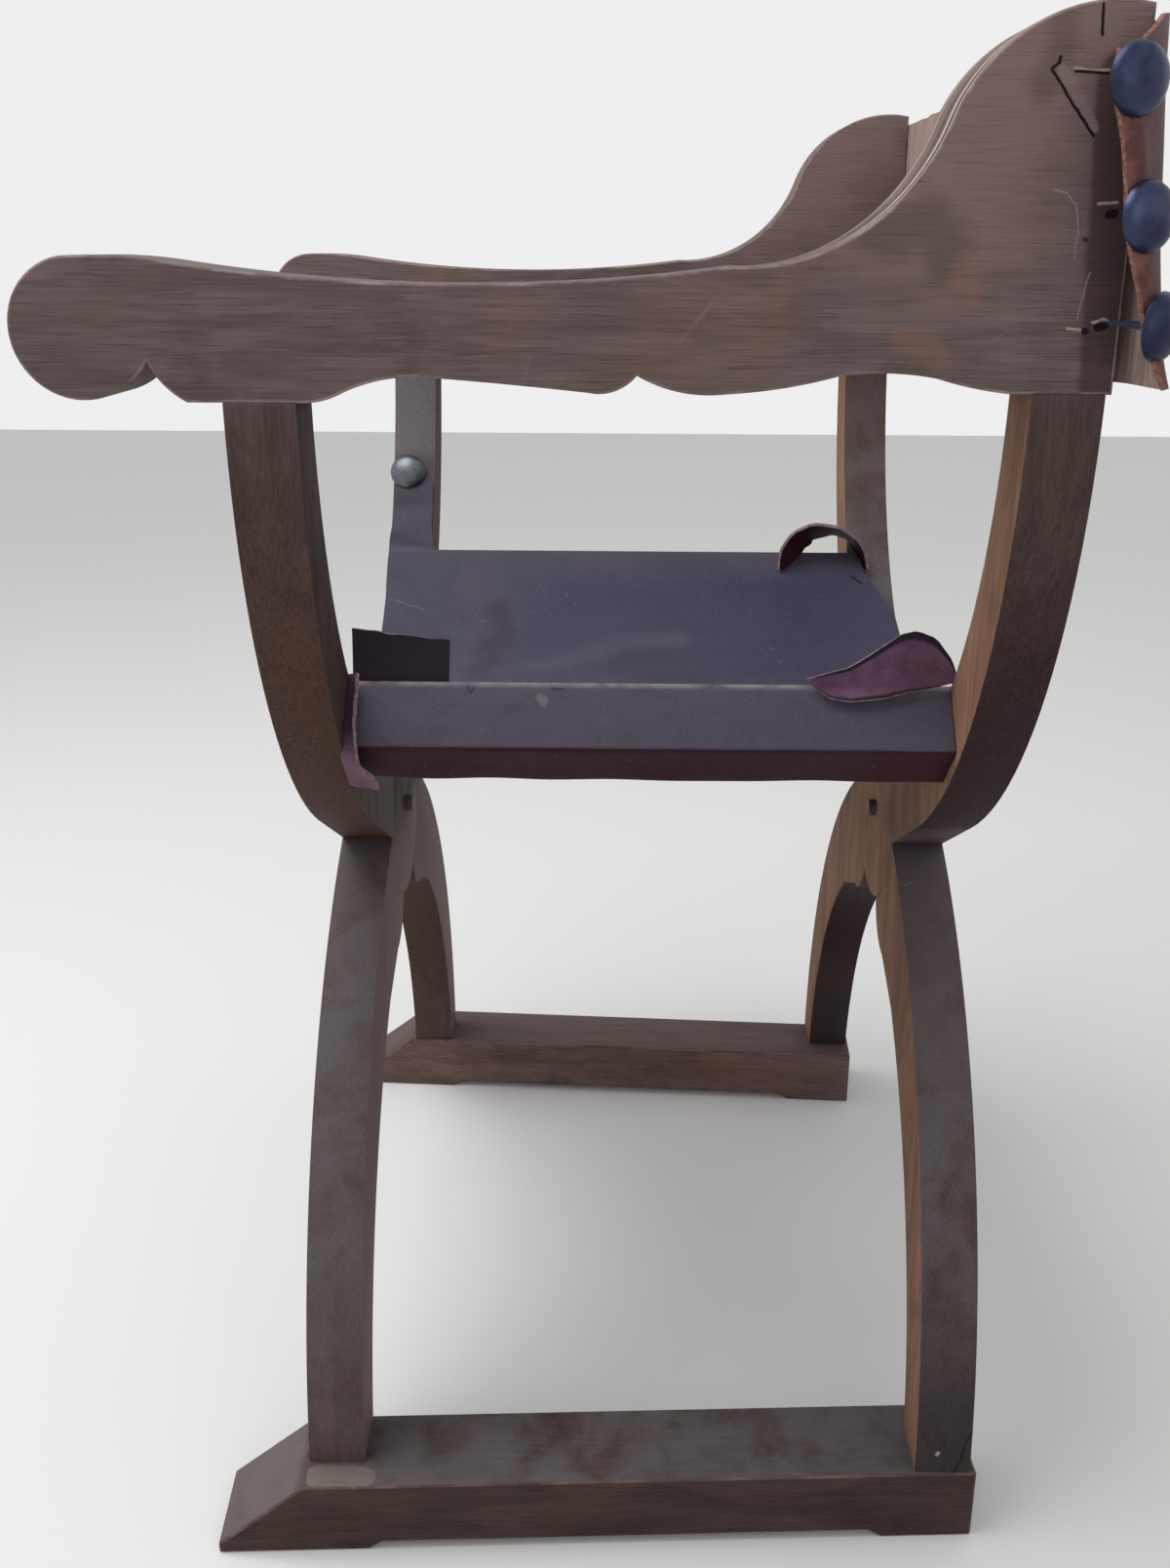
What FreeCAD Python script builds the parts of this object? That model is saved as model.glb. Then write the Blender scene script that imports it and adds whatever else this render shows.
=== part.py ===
import FreeCAD, Part
import os
import Sketcher

# Folding X-frame armchair with a slung leather seat and a leather back band.
# +Z is up, the chair faces -Y, +X is the sitter's left, millimetres.
# Two X-frames of S-curved legs, front and rear, cross at a round half-lapped knuckle on a pin.
# The left arm, its two legs, the right foot rail and the left seat rail turn together, and
# the mirrored set turns against them about the line of the two pins.

os.makedirs("parts", exist_ok=True)
V = FreeCAD.Vector
doc = FreeCAD.newDocument("CrossChair")

# Driving sizes: name, value, what it is.
SIZES = [
    ("frame_spacing", 385, "front face of the front legs to front face of the rear legs"),
    ("pivot_rise", 391, "floor to the line of the pivot pins"),
    ("leg_thickness", 35, "leg along the front-to-back axis"),
    ("leg_top_rise", 320, "pivot line to the top of a front leg"),
    ("rear_leg_extra", 6, "how much taller a rear leg stands"),
    ("leg_top_reach", 321, "pivot line to the outside of a leg at the arm"),
    ("upper_bow_reach", 237.5, "pivot line to the fullest point of the upper bow, sideways"),
    ("upper_bow_rise", 110.5, "pivot line to the fullest point of the upper bow, upwards"),
    ("shoulder_length", 87.6, "straight outer edge from the stop to the upper bow"),
    ("shoulder_angle", 28.3, "slope of that straight edge in degrees"),
    ("u_radius", 281, "inner curve that the two legs of an X-frame share"),
    ("u_bottom_rise", 58, "pivot line to the bottom of that curve"),
    ("knuckle_radius", 66, "round half-lapped cheek about the pivot"),
    ("notch_reach", 73, "pivot line to the outer end of the stop faces"),
    ("stop_gap", 0.3, "gap between the stop faces at rest"),
    ("lap_clearance", 0.4, "running clearance round and between the half-lapped cheeks"),
    ("cusp_angle", 115, "turn from the stop to the cusp under the knuckle in degrees"),
    ("lobe_tip_reach", 42, "sideways to the fullest point of the lobe"),
    ("lobe_tip_drop", 81, "down to the fullest point of the lobe"),
    ("lobe_end_reach", 66, "sideways to the end of the lobe"),
    ("lobe_end_drop", 89, "down to the end of the lobe"),
    ("arch_start_reach", 112, "sideways to the start of the lower inner arch"),
    ("arch_start_drop", 108, "down to the start of the lower inner arch"),
    ("arch_bow_reach", 215, "sideways to the middle of the lower inner arch"),
    ("arch_bow_drop", 219, "down to the middle of the lower inner arch"),
    ("lower_bow_reach", 220, "sideways to the fullest point of the lower bow"),
    ("lower_bow_drop", 125.8, "down to the fullest point of the lower bow"),
    ("foot_reach", 295, "pivot line to the outside of a leg at its foot"),
    ("foot_width", 38, "width of a leg at its foot"),
    ("pin_radius", 6, "pivot pin"),
    ("pin_clearance", 0.05, "running clearance of the pin in the cheeks"),
    ("pin_stand_out", 5.5, "pin end beyond the leg on the inner side"),
    ("pin_head_radius", 11, "pin head on the outer side"),
    ("pin_head_height", 4, "pin head on the outer side"),
    ("pin_end_chamfer", 1, "at the pin's inner end"),
    ("arm_length", 524, "arm board from its round head to the rear edge"),
    ("arm_width", 50, "arm board, side to side"),
    ("wing_height", 173, "underside of the arm to the top of its rear wing"),
    ("arm_overhang", 101, "round head in front of the front legs"),
    ("rail_length", 481, "foot rail from its toe to its rear end"),
    ("rail_width", 62, "foot rail, side to side"),
    ("rail_height", 50, "foot rail with its pads"),
    ("pad_relief", 5.5, "how far the rail is cut away between its pads"),
    ("toe_length", 55, "sloping toe of the foot rail"),
    ("toe_nose", 7, "upright nose at the tip of the toe"),
    ("front_pad_length", 95, "front pad of the foot rail"),
    ("rear_pad_length", 58, "rear pad of the foot rail"),
    ("pad_ramp", 9, "run of the slope between pad and relief"),
    ("rail_rear_overhang", 3.5, "foot rail behind the rear legs"),
    ("rail_reach", 277, "middle of the chair to the middle of a foot rail"),
    ("rail_splay", 3, "outward turn of a foot rail towards the front in degrees"),
    ("seat_rail_reach", 208, "middle of the chair to the middle of a seat rail"),
    ("seat_rail_rise", 122.5, "pivot line to the middle of a seat rail"),
    ("seat_rail_tilt", 46, "slope of the seat rail's section in degrees"),
    ("seat_rail_depth", 40, "seat rail along the leg's width"),
    ("seat_rail_height", 34, "seat rail along the leg's length"),
    ("tenon_width", 24, "loose tenons, across the leg"),
    ("tenon_thickness", 10, "loose tenons"),
    ("tenon_length", 50, "loose tenons"),
    ("tenon_clearance", 0.1, "round a tenon in its mortise"),
    ("tenon_end_gap", 1, "beyond a tenon in its mortise"),
    ("seat_hide", 2.5, "thickness of the seat leather"),
    ("back_hide", 2.8, "thickness of the back leather"),
    ("leather_gap", 0.3, "leather to the wood that it passes over"),
    ("seat_sag", 62, "seat leather between the rails"),
    ("seat_lap", 20, "seat leather turned under a rail"),
    ("apron_overhang", 6, "seat leather in front of the front legs"),
    ("apron_rear", 30, "seat leather behind the front faces of the rear legs"),
    ("tear_reach", 103, "middle of the chair to the torn edge of the seat's front band"),
    ("tear_end", 185, "middle of the chair to the tear's other end"),
    ("tear_depth", 27, "tear behind the front legs"),
    ("ear_rise", 215, "pivot line to the tip of the leather ear on the right front leg"),
    ("ear_foot_rise", 143, "pivot line to where that ear leaves the seat"),
    ("ear_nail_rise", 209, "pivot line to the nail that holds the ear"),
    ("ear_nail_inset", 12.5, "front of the front legs to that nail"),
    ("ear_nail_radius", 15, "round head of the ear's nail"),
    ("ear_nail_dome", 8, "height of that head"),
    ("ear_nail_length", 22, "shank of that nail"),
    ("flap_length", 80, "loose rear ear on the left seat rail, front to back"),
    ("flap_rise", 26, "how high that ear stands over the rail's ridge"),
    ("flap_lap", 12, "how far its lower edge lies outside the ridge"),
    ("curl_root", 8, "rear end of the right ear's curl behind the front faces of the rear legs"),
    ("curl_length", 60, "curled rear ear on the right, front to back"),
    ("curl_rise", 25, "how high the curl stands over the rail's ridge"),
    ("curl_drop", 12, "how far its tip and root lie under the ridge"),
    ("curl_width", 30, "curled ear, side to side"),
    ("back_height", 158, "back leather from bottom to top"),
    ("back_inset", 5, "top of the wing to the top edge of the back leather"),
    ("back_wrap", 34, "back leather on the outside of the right wing"),
    ("wrap_leave", 22, "left wing's outside to where the loose leather leaves its rear edge"),
    ("bulge_reach", 6, "left wing's outside to the fullest point of the loose corner"),
    ("wrap_bulge", 8, "loose left corner of the back leather behind the wing"),
    ("wrap_stand_off", 15, "left end of the back leather off the wing, nails drawn"),
    ("flange_rear", 12, "loose left end behind its nails"),
    ("flange_front", 17, "loose left end in front of its nails"),
    ("back_nail_radius", 17.5, "large domed nails of the back"),
    ("back_nail_dome", 9, "height of their domes"),
    ("back_nail_length", 30, "their shanks"),
    ("nail_shank_radius", 1.8, "shanks of the nails"),
    ("nail_clearance", 0.2, "round a shank in its hole"),
    ("nail_inset", 17, "nail holes in front of the rear edge"),
    ("nail_tilt", 40, "drawn left nails lean to the rear in degrees"),
    ("nail_row_top", 33, "top of the wing to the top nail"),
    ("nail_pitch", 50, "between the nails of a row"),
    ("tack_radius", 4, "small tacks under the seat rails"),
    ("tack_head", 2, "heads of those tacks"),
    ("tack_shank_radius", 0.9, "shanks of those tacks"),
    ("tack_length", 13, "shanks of those tacks"),
    ("tack_inset", 11, "tacks inside the lower outer corner of a seat rail"),
    ("overrun", 5, "how far a cutting shape runs past the wood"),
]

sheet = doc.addObject("Spreadsheet::Sheet", "Sizes")
for row, (alias, size, meaning) in enumerate(SIZES, start=1):
    sheet.set(f"A{row}", meaning)
    sheet.set(f"B{row}", str(size))
    sheet.setAlias(f"B{row}", alias)

# How far the middle of the finished chair's box lies from the pivot pins and from the front legs.
# Everything is laid out from the pins and the front legs first, and these cells move it to the middle.
MIDDLES = {"middle_across": "B1", "middle_along": "B2"}
middles = doc.addObject("Spreadsheet::Sheet", "Middles")
for alias, cell in MIDDLES.items():
    middles.set(cell, "0")
    middles.setAlias(cell, alias)
doc.recompute()

# Shares of the arm's length and of the wing's height along its outline, from the rear of the underside.
# An arc is given by a point that it passes through and the point where it ends.
UNDERSIDE_SHARES = [
    ("arc", (0.882, 0.046), (0.842, 0.075)),
    ("arc", (0.795, 0.088), (0.753, 0.079)),
    ("arc", (0.702, 0.046), (0.652, 0.030)),
    ("arc", (0.600, 0.042), (0.571, 0.078)),
    ("arc", (0.557, 0.044), (0.527, 0.032)),
    ("arc", (0.450, 0.054), (0.372, 0.072)),
    ("arc", (0.335, 0.060), (0.303, 0.028)),
    ("arc", (0.284, 0.006), (0.264, 0)),
    ("line", (0.160, 0)),
    ("arc", (0.143, 0.036), (0.126, 0.107)),
]
HEAD_SHARES = [
    ("arc", (0.092, 0.020), (0.057, 0.006)),
    ("arc", (0.003, 0.170), (0.055, 0.384)),
    ("arc", (0.095, 0.386), (0.137, 0.376)),
]
TOP_SHARES = [
    ("arc", (0.350, 0.318), (0.655, 0.364)),
    ("arc", (0.774, 0.470), (0.838, 0.722)),
    ("arc", (0.897, 0.945), (1.000, 1.000)),
]
REAR_FLAT_SHARE = 0.910


def worked_out(expression):
    """The number that an expression of the sheet's cells gives now."""
    return float(sheet.evalExpression(expression))


def bind(thing, **expressions):
    """Bind properties to the sheet: a double underscore in a name stands for a dot."""
    for name, expression in expressions.items():
        thing.setExpression(name.replace("__", "."), expression)


def origin_plane(body, role):
    """One of a body's own origin planes."""
    return [feature for feature in body.Origin.OriginFeatures if feature.Role == role][0]


def sketch_on(body, role, name, offset="0"):
    """An empty sketch on a body's origin plane, moved along the plane's normal by offset."""
    sketch = body.newObject("Sketcher::SketchObject", name)
    sketch.AttachmentSupport = [(origin_plane(body, role), "")]
    sketch.MapMode = "FlatFace"
    sketch.setExpression("AttachmentOffset.Base.z", offset)
    return sketch


def pin_point(sketch, geometry, end, across, upward):
    """Hold one point of a sketch at two distances from the sketch's origin."""
    for kind, expression in (("DistanceX", across), ("DistanceY", upward)):
        constraint = Sketcher.Constraint(kind, -1, 1, geometry, end, worked_out(expression))
        index = sketch.addConstraint(constraint)
        sketch.setExpression(f"Constraints[{index}]", expression)


def draw(sketch, start, steps):
    """Draw lines and three-point arcs, each end and each arc's middle point bound to the sheet."""
    points = [start] + [step[-1] for step in steps]
    for index, step in enumerate(steps):
        ends = points[index:index + 2]
        begin, end = [V(worked_out(across), worked_out(upward), 0) for across, upward in ends]
        if step[0] == "line":
            edge = sketch.addGeometry(Part.LineSegment(begin, end), False)
        else:
            middle = V(worked_out(step[1][0]), worked_out(step[1][1]), 0)
            if (middle - begin).cross(end - begin).z < 0:
                begin, end = end, begin
                ends = ends[::-1]
            edge = sketch.addGeometry(Part.Arc(begin, middle, end), False)
        pin_point(sketch, edge, 1, *ends[0])
        pin_point(sketch, edge, 2, *ends[1])
        if step[0] == "arc":
            helper = sketch.addGeometry(Part.Point(middle), True)
            pin_point(sketch, helper, 1, *step[1])
            sketch.addConstraint(Sketcher.Constraint("PointOnObject", helper, 1, edge))


def pad(body, sketch, length, both_sides=False):
    """Pad a sketch towards the plane's normal or to both sides of it."""
    feature = body.newObject("PartDesign::Pad", sketch.Name + "Pad")
    feature.Profile = sketch
    if both_sides:
        feature.Midplane = True
    bind(feature, Length=length)
    body.Tip = feature
    return feature


def pocket(body, sketch, length, reverse=False):
    """Cut a sketch out of the body against the plane's normal, or along it."""
    feature = body.newObject("PartDesign::Pocket", sketch.Name + "Pocket")
    feature.Profile = sketch
    feature.Reversed = reverse
    bind(feature, Length=length)
    body.Tip = feature
    return feature


def circle_on(body, role, name, across, upward, radius, offset="0"):
    """A sketch that holds one circle."""
    sketch = sketch_on(body, role, name, offset)
    middle = V(worked_out(across), worked_out(upward), 0)
    ring = sketch.addGeometry(Part.Circle(middle, V(0, 0, 1), worked_out(radius)), False)
    pin_point(sketch, ring, 3, across, upward)
    index = sketch.addConstraint(Sketcher.Constraint("Radius", ring, worked_out(radius)))
    sketch.setExpression(f"Constraints[{index}]", radius)
    return sketch


def place(thing, x="0", y="0", z="0", turn="0", axis=V(0, 0, 1)):
    """Put an object at a place given by expressions, turned by an expression in degrees."""
    thing.Placement = FreeCAD.Placement(V(0, 0, 0), FreeCAD.Rotation(axis, worked_out(turn)))
    bind(thing, Placement__Base__x=f"{x} - Middles.middle_across",
         Placement__Base__y=f"{y} - Middles.middle_along", Placement__Base__z=z)
    return thing


def group(name, members):
    """Separate solids in one object."""
    compound = doc.addObject("Part::Compound", name)
    compound.Links = members
    return compound


def cut(name, base, tools):
    """Cut rods or other shapes out of a base."""
    result = doc.addObject("Part::Cut", name)
    result.Base = base
    result.Tool = tools[0] if len(tools) == 1 else group(name + "_tools", tools)
    return result


def fuse(name, members):
    """Join overlapping shapes into one."""
    result = doc.addObject("Part::MultiFuse", name)
    result.Shapes = members
    return result


finished = []


def finish(thing, label):
    """Name a finished sub-part after its node."""
    thing.Label = label
    finished.append(thing)
    return thing


# Places along the chair, from the front of the front legs, and across it, from the pivot pins.
ARM_FRONT = "(-Sizes.arm_overhang)"
FRAME_FRONT = "0"
REAR_EDGE = "(Sizes.arm_length - Sizes.arm_overhang)"
INNER_FRONT = "Sizes.leg_thickness"
INNER_REAR = "Sizes.frame_spacing"
FRAME_REAR = "(Sizes.frame_spacing + Sizes.leg_thickness)"
ARM_FLOOR = "(Sizes.pivot_rise + Sizes.leg_top_rise)"
SIDES = {"left": 1, "right": -1}
OPPOSITE = {"left": "right", "right": "left"}
ROWS = {"front": (FRAME_FRONT, "0"), "rear": (INNER_REAR, "Sizes.rear_leg_extra")}

# The leg's outline about its pivot, for a leg whose top lies on the +X side.
CURVE_RISE = "(Sizes.u_bottom_rise + Sizes.u_radius)"
MEETING_RISE = (f"((Sizes.knuckle_radius ^ 2 + {CURVE_RISE} ^ 2 - Sizes.u_radius ^ 2)"
                f" / (2 * {CURVE_RISE}))")
MEETING_REACH = f"sqrt(Sizes.knuckle_radius ^ 2 - {MEETING_RISE} ^ 2)"
CHEEK_REACH = "sqrt(Sizes.knuckle_radius ^ 2 - (Sizes.stop_gap / 2) ^ 2)"
KNUCKLE_TOP_TURN = 148
KNUCKLE_FOOT_TURN = 60
BOW_TURN = 45


def mirrored(side, point):
    """A point of the outline, moved to the other side of the pivot for a right leg."""
    return f"{side} * ({point[0]})", point[1]


def leg_outline(side, extra):
    """Start and steps of a leg's outline, knuckle cheek and lobe included."""
    top = f"Sizes.leg_top_rise + {extra}"
    start = ("Sizes.notch_reach", "Sizes.stop_gap / 2")
    steps = [
        ("line", ("Sizes.notch_reach + Sizes.shoulder_length * cos(Sizes.shoulder_angle)",
                  "Sizes.stop_gap / 2 + Sizes.shoulder_length * sin(Sizes.shoulder_angle)")),
        ("arc", ("Sizes.upper_bow_reach", "Sizes.upper_bow_rise"), ("Sizes.leg_top_reach", top)),
        ("line", (f"sqrt(Sizes.u_radius ^ 2 - ({CURVE_RISE} - {top}) ^ 2)", top)),
        ("arc", (f"Sizes.u_radius * cos({BOW_TURN})", f"{CURVE_RISE} - Sizes.u_radius * sin({BOW_TURN})"),
         (f"-{MEETING_REACH}", MEETING_RISE)),
        ("arc", (f"Sizes.knuckle_radius * cos({KNUCKLE_TOP_TURN})",
                 f"Sizes.knuckle_radius * sin({KNUCKLE_TOP_TURN})"),
         (f"-{CHEEK_REACH}", "-Sizes.stop_gap / 2")),
        ("line", ("-Sizes.notch_reach", "-Sizes.stop_gap / 2")),
        ("arc", ("-Sizes.lower_bow_reach", "-Sizes.lower_bow_drop"),
         ("-Sizes.foot_reach", "-(Sizes.pivot_rise - Sizes.rail_height)")),
        ("line", ("-(Sizes.foot_reach - Sizes.foot_width)", "-(Sizes.pivot_rise - Sizes.rail_height)")),
        ("arc", ("-Sizes.arch_bow_reach", "-Sizes.arch_bow_drop"),
         ("-Sizes.arch_start_reach", "-Sizes.arch_start_drop")),
        ("line", ("-Sizes.lobe_end_reach", "-Sizes.lobe_end_drop")),
        ("arc", ("-Sizes.lobe_tip_reach", "-Sizes.lobe_tip_drop"),
         ("Sizes.knuckle_radius * cos(Sizes.cusp_angle)", "-Sizes.knuckle_radius * sin(Sizes.cusp_angle)")),
        ("arc", (f"Sizes.knuckle_radius * cos({KNUCKLE_FOOT_TURN})",
                 f"-Sizes.knuckle_radius * sin({KNUCKLE_FOOT_TURN})"),
         (CHEEK_REACH, "Sizes.stop_gap / 2")),
        ("line", start),
    ]
    return mirrored(side, start), [(step[0],) + tuple(mirrored(side, point) for point in step[1:])
                                   for step in steps]


def leg(row, side_name):
    """One S-curved leg: full thickness outside the knuckle, half of it in the cheek."""
    side = SIDES[side_name]
    front_face, extra = ROWS[row]
    name = f"{row}_leg_{side_name}"
    body = doc.addObject("PartDesign::Body", name + "_blank")
    outline = sketch_on(body, "XZ_Plane", name + "_outline")
    draw(outline, *leg_outline(side, extra))
    board = pad(body, outline, "Sizes.leg_thickness")
    board.Reversed = True
    doc.recompute()
    whole = board.Shape.Volume
    lap_depth = "(Sizes.leg_thickness + Sizes.lap_clearance) / 2"
    swing = "Sizes.knuckle_radius + Sizes.lap_clearance"
    if side_name == "left":
        lap = circle_on(body, "XZ_Plane", name + "_lap", "0", "0", swing, "-Sizes.leg_thickness")
    else:
        lap = circle_on(body, "XZ_Plane", name + "_lap", "0", "0", swing)
    half = pocket(body, lap, lap_depth, reverse=side_name == "left")
    doc.recompute()
    if half.Shape.Volume > whole - 1:
        raise RuntimeError(f"{name}: the half lap cuts nothing")
    bore = circle_on(body, "XZ_Plane", name + "_bore", "0", "0",
                     "Sizes.pin_radius + Sizes.pin_clearance", "Sizes.overrun")
    drilled = pocket(body, bore, "Sizes.leg_thickness + 2 * Sizes.overrun", reverse=True)
    doc.recompute()
    if drilled.Shape.Volume > half.Shape.Volume - 1:
        drilled.Reversed = False
    place(body, "0", front_face, "Sizes.pivot_rise")
    return body


def arm_outline():
    """Start and steps of the arm's outline, from the rear end of its underside and round the head."""
    def spot(shares):
        along = f"Sizes.arm_length * {shares[0]}"
        return along, f"Sizes.wing_height * {shares[1]}"
    steps = []
    start = ("Sizes.arm_length", "Sizes.rear_leg_extra")
    steps.append(("line", (f"Sizes.arm_length * {REAR_FLAT_SHARE}", "Sizes.rear_leg_extra")))
    for step in UNDERSIDE_SHARES + HEAD_SHARES + TOP_SHARES:
        steps.append((step[0],) + tuple(spot(shares) for shares in step[1:]))
    steps.append(("line", start))
    return start, steps


def arm(side_name):
    """An arm board with its round head, notched underside and rising rear wing."""
    side = SIDES[side_name]
    name = f"{side_name}_arm"
    body = doc.addObject("PartDesign::Body", name + "_blank")
    outline = sketch_on(body, "YZ_Plane", name + "_outline")
    draw(outline, *arm_outline())
    pad(body, outline, "Sizes.arm_width", both_sides=True)
    place(body, f"{side} * (Sizes.leg_top_reach - Sizes.arm_width / 2)", ARM_FRONT, ARM_FLOOR)
    return body


def foot_rail(side_name):
    """A foot rail with a sloping toe, a pad at each end and a shallow relief between them."""
    side = SIDES[side_name]
    name = f"{side_name}_foot_rail"
    body = doc.addObject("PartDesign::Body", name + "_blank")
    profile = sketch_on(body, "YZ_Plane", name + "_profile")
    middle = "Sizes.rail_length / 2"
    relief_front = f"-{middle} + Sizes.front_pad_length"
    relief_rear = f"{middle} - Sizes.rear_pad_length"
    start = (middle, "0")
    steps = [
        ("line", (middle, "Sizes.rail_height")),
        ("line", (f"-{middle} + Sizes.toe_length", "Sizes.rail_height")),
        ("line", (f"-{middle}", "Sizes.toe_nose")),
        ("line", (f"-{middle}", "0")),
        ("line", (relief_front, "0")),
        ("line", (f"{relief_front} + Sizes.pad_ramp", "Sizes.pad_relief")),
        ("line", (f"{relief_rear} - Sizes.pad_ramp", "Sizes.pad_relief")),
        ("line", (relief_rear, "0")),
        ("line", start),
    ]
    draw(profile, start, steps)
    pad(body, profile, "Sizes.rail_width", both_sides=True)
    place(body, f"{side} * Sizes.rail_reach",
          f"{FRAME_REAR} + Sizes.rail_rear_overhang - {middle}", "0",
          f"{side} * Sizes.rail_splay")
    return body


def seat_rail(side_name):
    """A seat rail between the legs, its section lying square to the legs' curve."""
    side = SIDES[side_name]
    name = f"{side_name}_seat_rail"
    body = doc.addObject("PartDesign::Body", name + "_blank")
    section = sketch_on(body, "XZ_Plane", name + "_section")
    half_depth = "Sizes.seat_rail_depth / 2"
    half_height = "Sizes.seat_rail_height / 2"
    corners = [(half_depth, f"-{half_height}"), (half_depth, half_height),
               (f"-{half_depth}", half_height), (f"-{half_depth}", f"-{half_height}")]
    draw(section, corners[0], [("line", corner) for corner in corners[1:] + corners[:1]])
    board = pad(body, section, f"{INNER_REAR} - {INNER_FRONT}")
    board.Reversed = True
    place(body, f"{side} * Sizes.seat_rail_reach", INNER_FRONT,
          "Sizes.pivot_rise + Sizes.seat_rail_rise", f"{side} * Sizes.seat_rail_tilt", V(0, 1, 0))
    return body


def turned(name, steps, start):
    """A turned piece: a profile of radius and distance along +Y, revolved about the Y axis."""
    body = doc.addObject("PartDesign::Body", name)
    profile = sketch_on(body, "XY_Plane", name + "_profile")
    draw(profile, start, steps)
    solid = body.newObject("PartDesign::Revolution", name + "_turned")
    solid.Profile = profile
    solid.ReferenceAxis = (profile, ["V_Axis"])
    solid.Angle = 360
    body.Tip = solid
    return body


def pivot_pin(row):
    """A pin with a low head outside the X-frame and a plain end inside."""
    head_under = "-Sizes.lap_clearance"
    head_top = f"({head_under} - Sizes.pin_head_height)"
    end = "Sizes.leg_thickness + Sizes.pin_stand_out"
    start = ("0", head_top)
    steps = [
        ("line", (f"Sizes.pin_head_radius * {PIN_DOME_SHARE}",
                  f"{head_under} - Sizes.pin_head_height * {PIN_DOME_SHARE}")),
        ("line", ("Sizes.pin_head_radius", head_under)),
        ("line", ("Sizes.pin_radius", head_under)),
        ("line", ("Sizes.pin_radius", f"{end} - Sizes.pin_end_chamfer")),
        ("line", ("Sizes.pin_radius - Sizes.pin_end_chamfer", end)),
        ("line", ("0", end)),
        ("line", start),
    ]
    body = turned(f"{row}_pivot_pin", steps, start)
    if row == "front":
        place(body, "0", FRAME_FRONT, "Sizes.pivot_rise")
    else:
        place(body, "0", FRAME_REAR, "Sizes.pivot_rise", "180")
    return body


def bar(name, corners, radius, length, spot, into):
    """A straight bar with so many corners, its near end at spot, that runs along into."""
    shape = doc.addObject("Part::Prism", name)
    shape.Polygon = corners
    bind(shape, Circumradius=radius, Height=length)
    place(shape, *spot)
    shape.Placement.Rotation = FreeCAD.Rotation(V(0, 0, 1), into)
    return shape


def nail(name, head, dome, length, spot, into):
    """A nail with a domed head, its flat side at spot, and a square shank along into."""
    start = ("0", f"-{dome}")
    steps = [
        ("line", (f"{head} * {DOME_TOP_SHARE}", f"-{dome} * {DOME_TOP_RISE_SHARE}")),
        ("line", (f"{head} * {DOME_RIM_SHARE}", f"-{dome} * {DOME_RIM_RISE_SHARE}")),
        ("line", (head, "0")),
        ("line", ("0", "0")),
        ("line", start),
    ]
    cap = turned(name + "_cap", steps, start)
    place(cap, *spot)
    cap.Placement.Rotation = FreeCAD.Rotation(V(0, 1, 0), into)
    shank = bar(name + "_shank", SHANK_SIDES, "Sizes.nail_shank_radius", length, spot, into)
    return fuse(name, [cap, shank])


def tack(name, spot, into):
    """A small forged tack with an eight-sided head and a square shank."""
    head = bar(name + "_head", TACK_SIDES, "Sizes.tack_radius", "Sizes.tack_head", spot, into.negative())
    shank = bar(name + "_shank", SHANK_SIDES, "Sizes.tack_shank_radius", "Sizes.tack_length", spot, into)
    return fuse(name, [head, shank])


def joint_blocks(name, side_name, clearance, half):
    """Loose tenons or mortises of one side, by joint and row: leg tops, leg feet, seat rail ends."""
    side = SIDES[side_name]
    width = f"(Sizes.tenon_width + 2 * {clearance})"
    thickness = f"(Sizes.tenon_thickness + 2 * {clearance})"
    blocks = {}
    for row, (front_face, extra) in ROWS.items():
        label = f"{name}_{row}"
        low_y = f"{front_face} + Sizes.leg_thickness / 2 - {thickness} / 2"
        joint_y = INNER_FRONT if row == "front" else INNER_REAR
        blocks["top", row] = block(
            label + "_top", width, thickness, f"2 * {half}",
            (f"{side} * (Sizes.leg_top_reach - {TOP_WIDTH} / 2) - {width} / 2", low_y,
             f"{ARM_FLOOR} + {extra} - {half}"))
        blocks["foot", row] = block(
            label + "_foot", width, thickness, f"2 * {half}",
            (f"-{side} * (Sizes.foot_reach - Sizes.foot_width / 2) - {width} / 2", low_y,
             f"Sizes.rail_height - {half}"))
        corner_depth = f"-{side} * {width} / 2"
        across, upward = rail_spot(side, corner_depth, f"-{thickness} / 2")
        blocks["rail", row] = block(label + "_rail", width, f"2 * {half}", thickness,
                                    (across, f"{joint_y} - {half}", upward),
                                    f"{side} * Sizes.seat_rail_tilt", V(0, 1, 0))
    return blocks


def rail_spot(side, along_depth, along_height):
    """A spot given along a seat rail's tilted section, across the chair and up from the floor."""
    tilt = "Sizes.seat_rail_tilt"
    across = (f"{side} * (Sizes.seat_rail_reach + ({along_depth}) * cos({tilt})"
              f" + ({along_height}) * sin({tilt}))")
    upward = (f"Sizes.pivot_rise + Sizes.seat_rail_rise - ({along_depth}) * sin({tilt})"
              f" + ({along_height}) * cos({tilt})")
    return across, upward


def sheet_of(name, start, steps, hide, length, spot, direction, turn="0", axis=V(0, 0, 1)):
    """A sheet of leather: an open path, thickened by hide to the side its sign gives, drawn out over length."""
    path = doc.addObject("Sketcher::SketchObject", name + "_path")
    draw(path, start, steps)
    place(path, *spot, turn, axis)
    band = doc.addObject("Part::Offset2D", name + "_band")
    band.Source = path
    band.Mode = "Skin"
    band.Join = "Arc"
    band.Fill = True
    bind(band, Value=hide)
    return drawn_out(name, band, length, direction)


def drawn_out(name, profile, length, direction):
    """A flat shape drawn out along direction over length."""
    solid = doc.addObject("Part::Extrusion", name)
    solid.Base = profile
    solid.DirMode = "Custom"
    solid.Dir = direction
    solid.Solid = True
    bind(solid, LengthFwd=length)
    return solid


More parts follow.
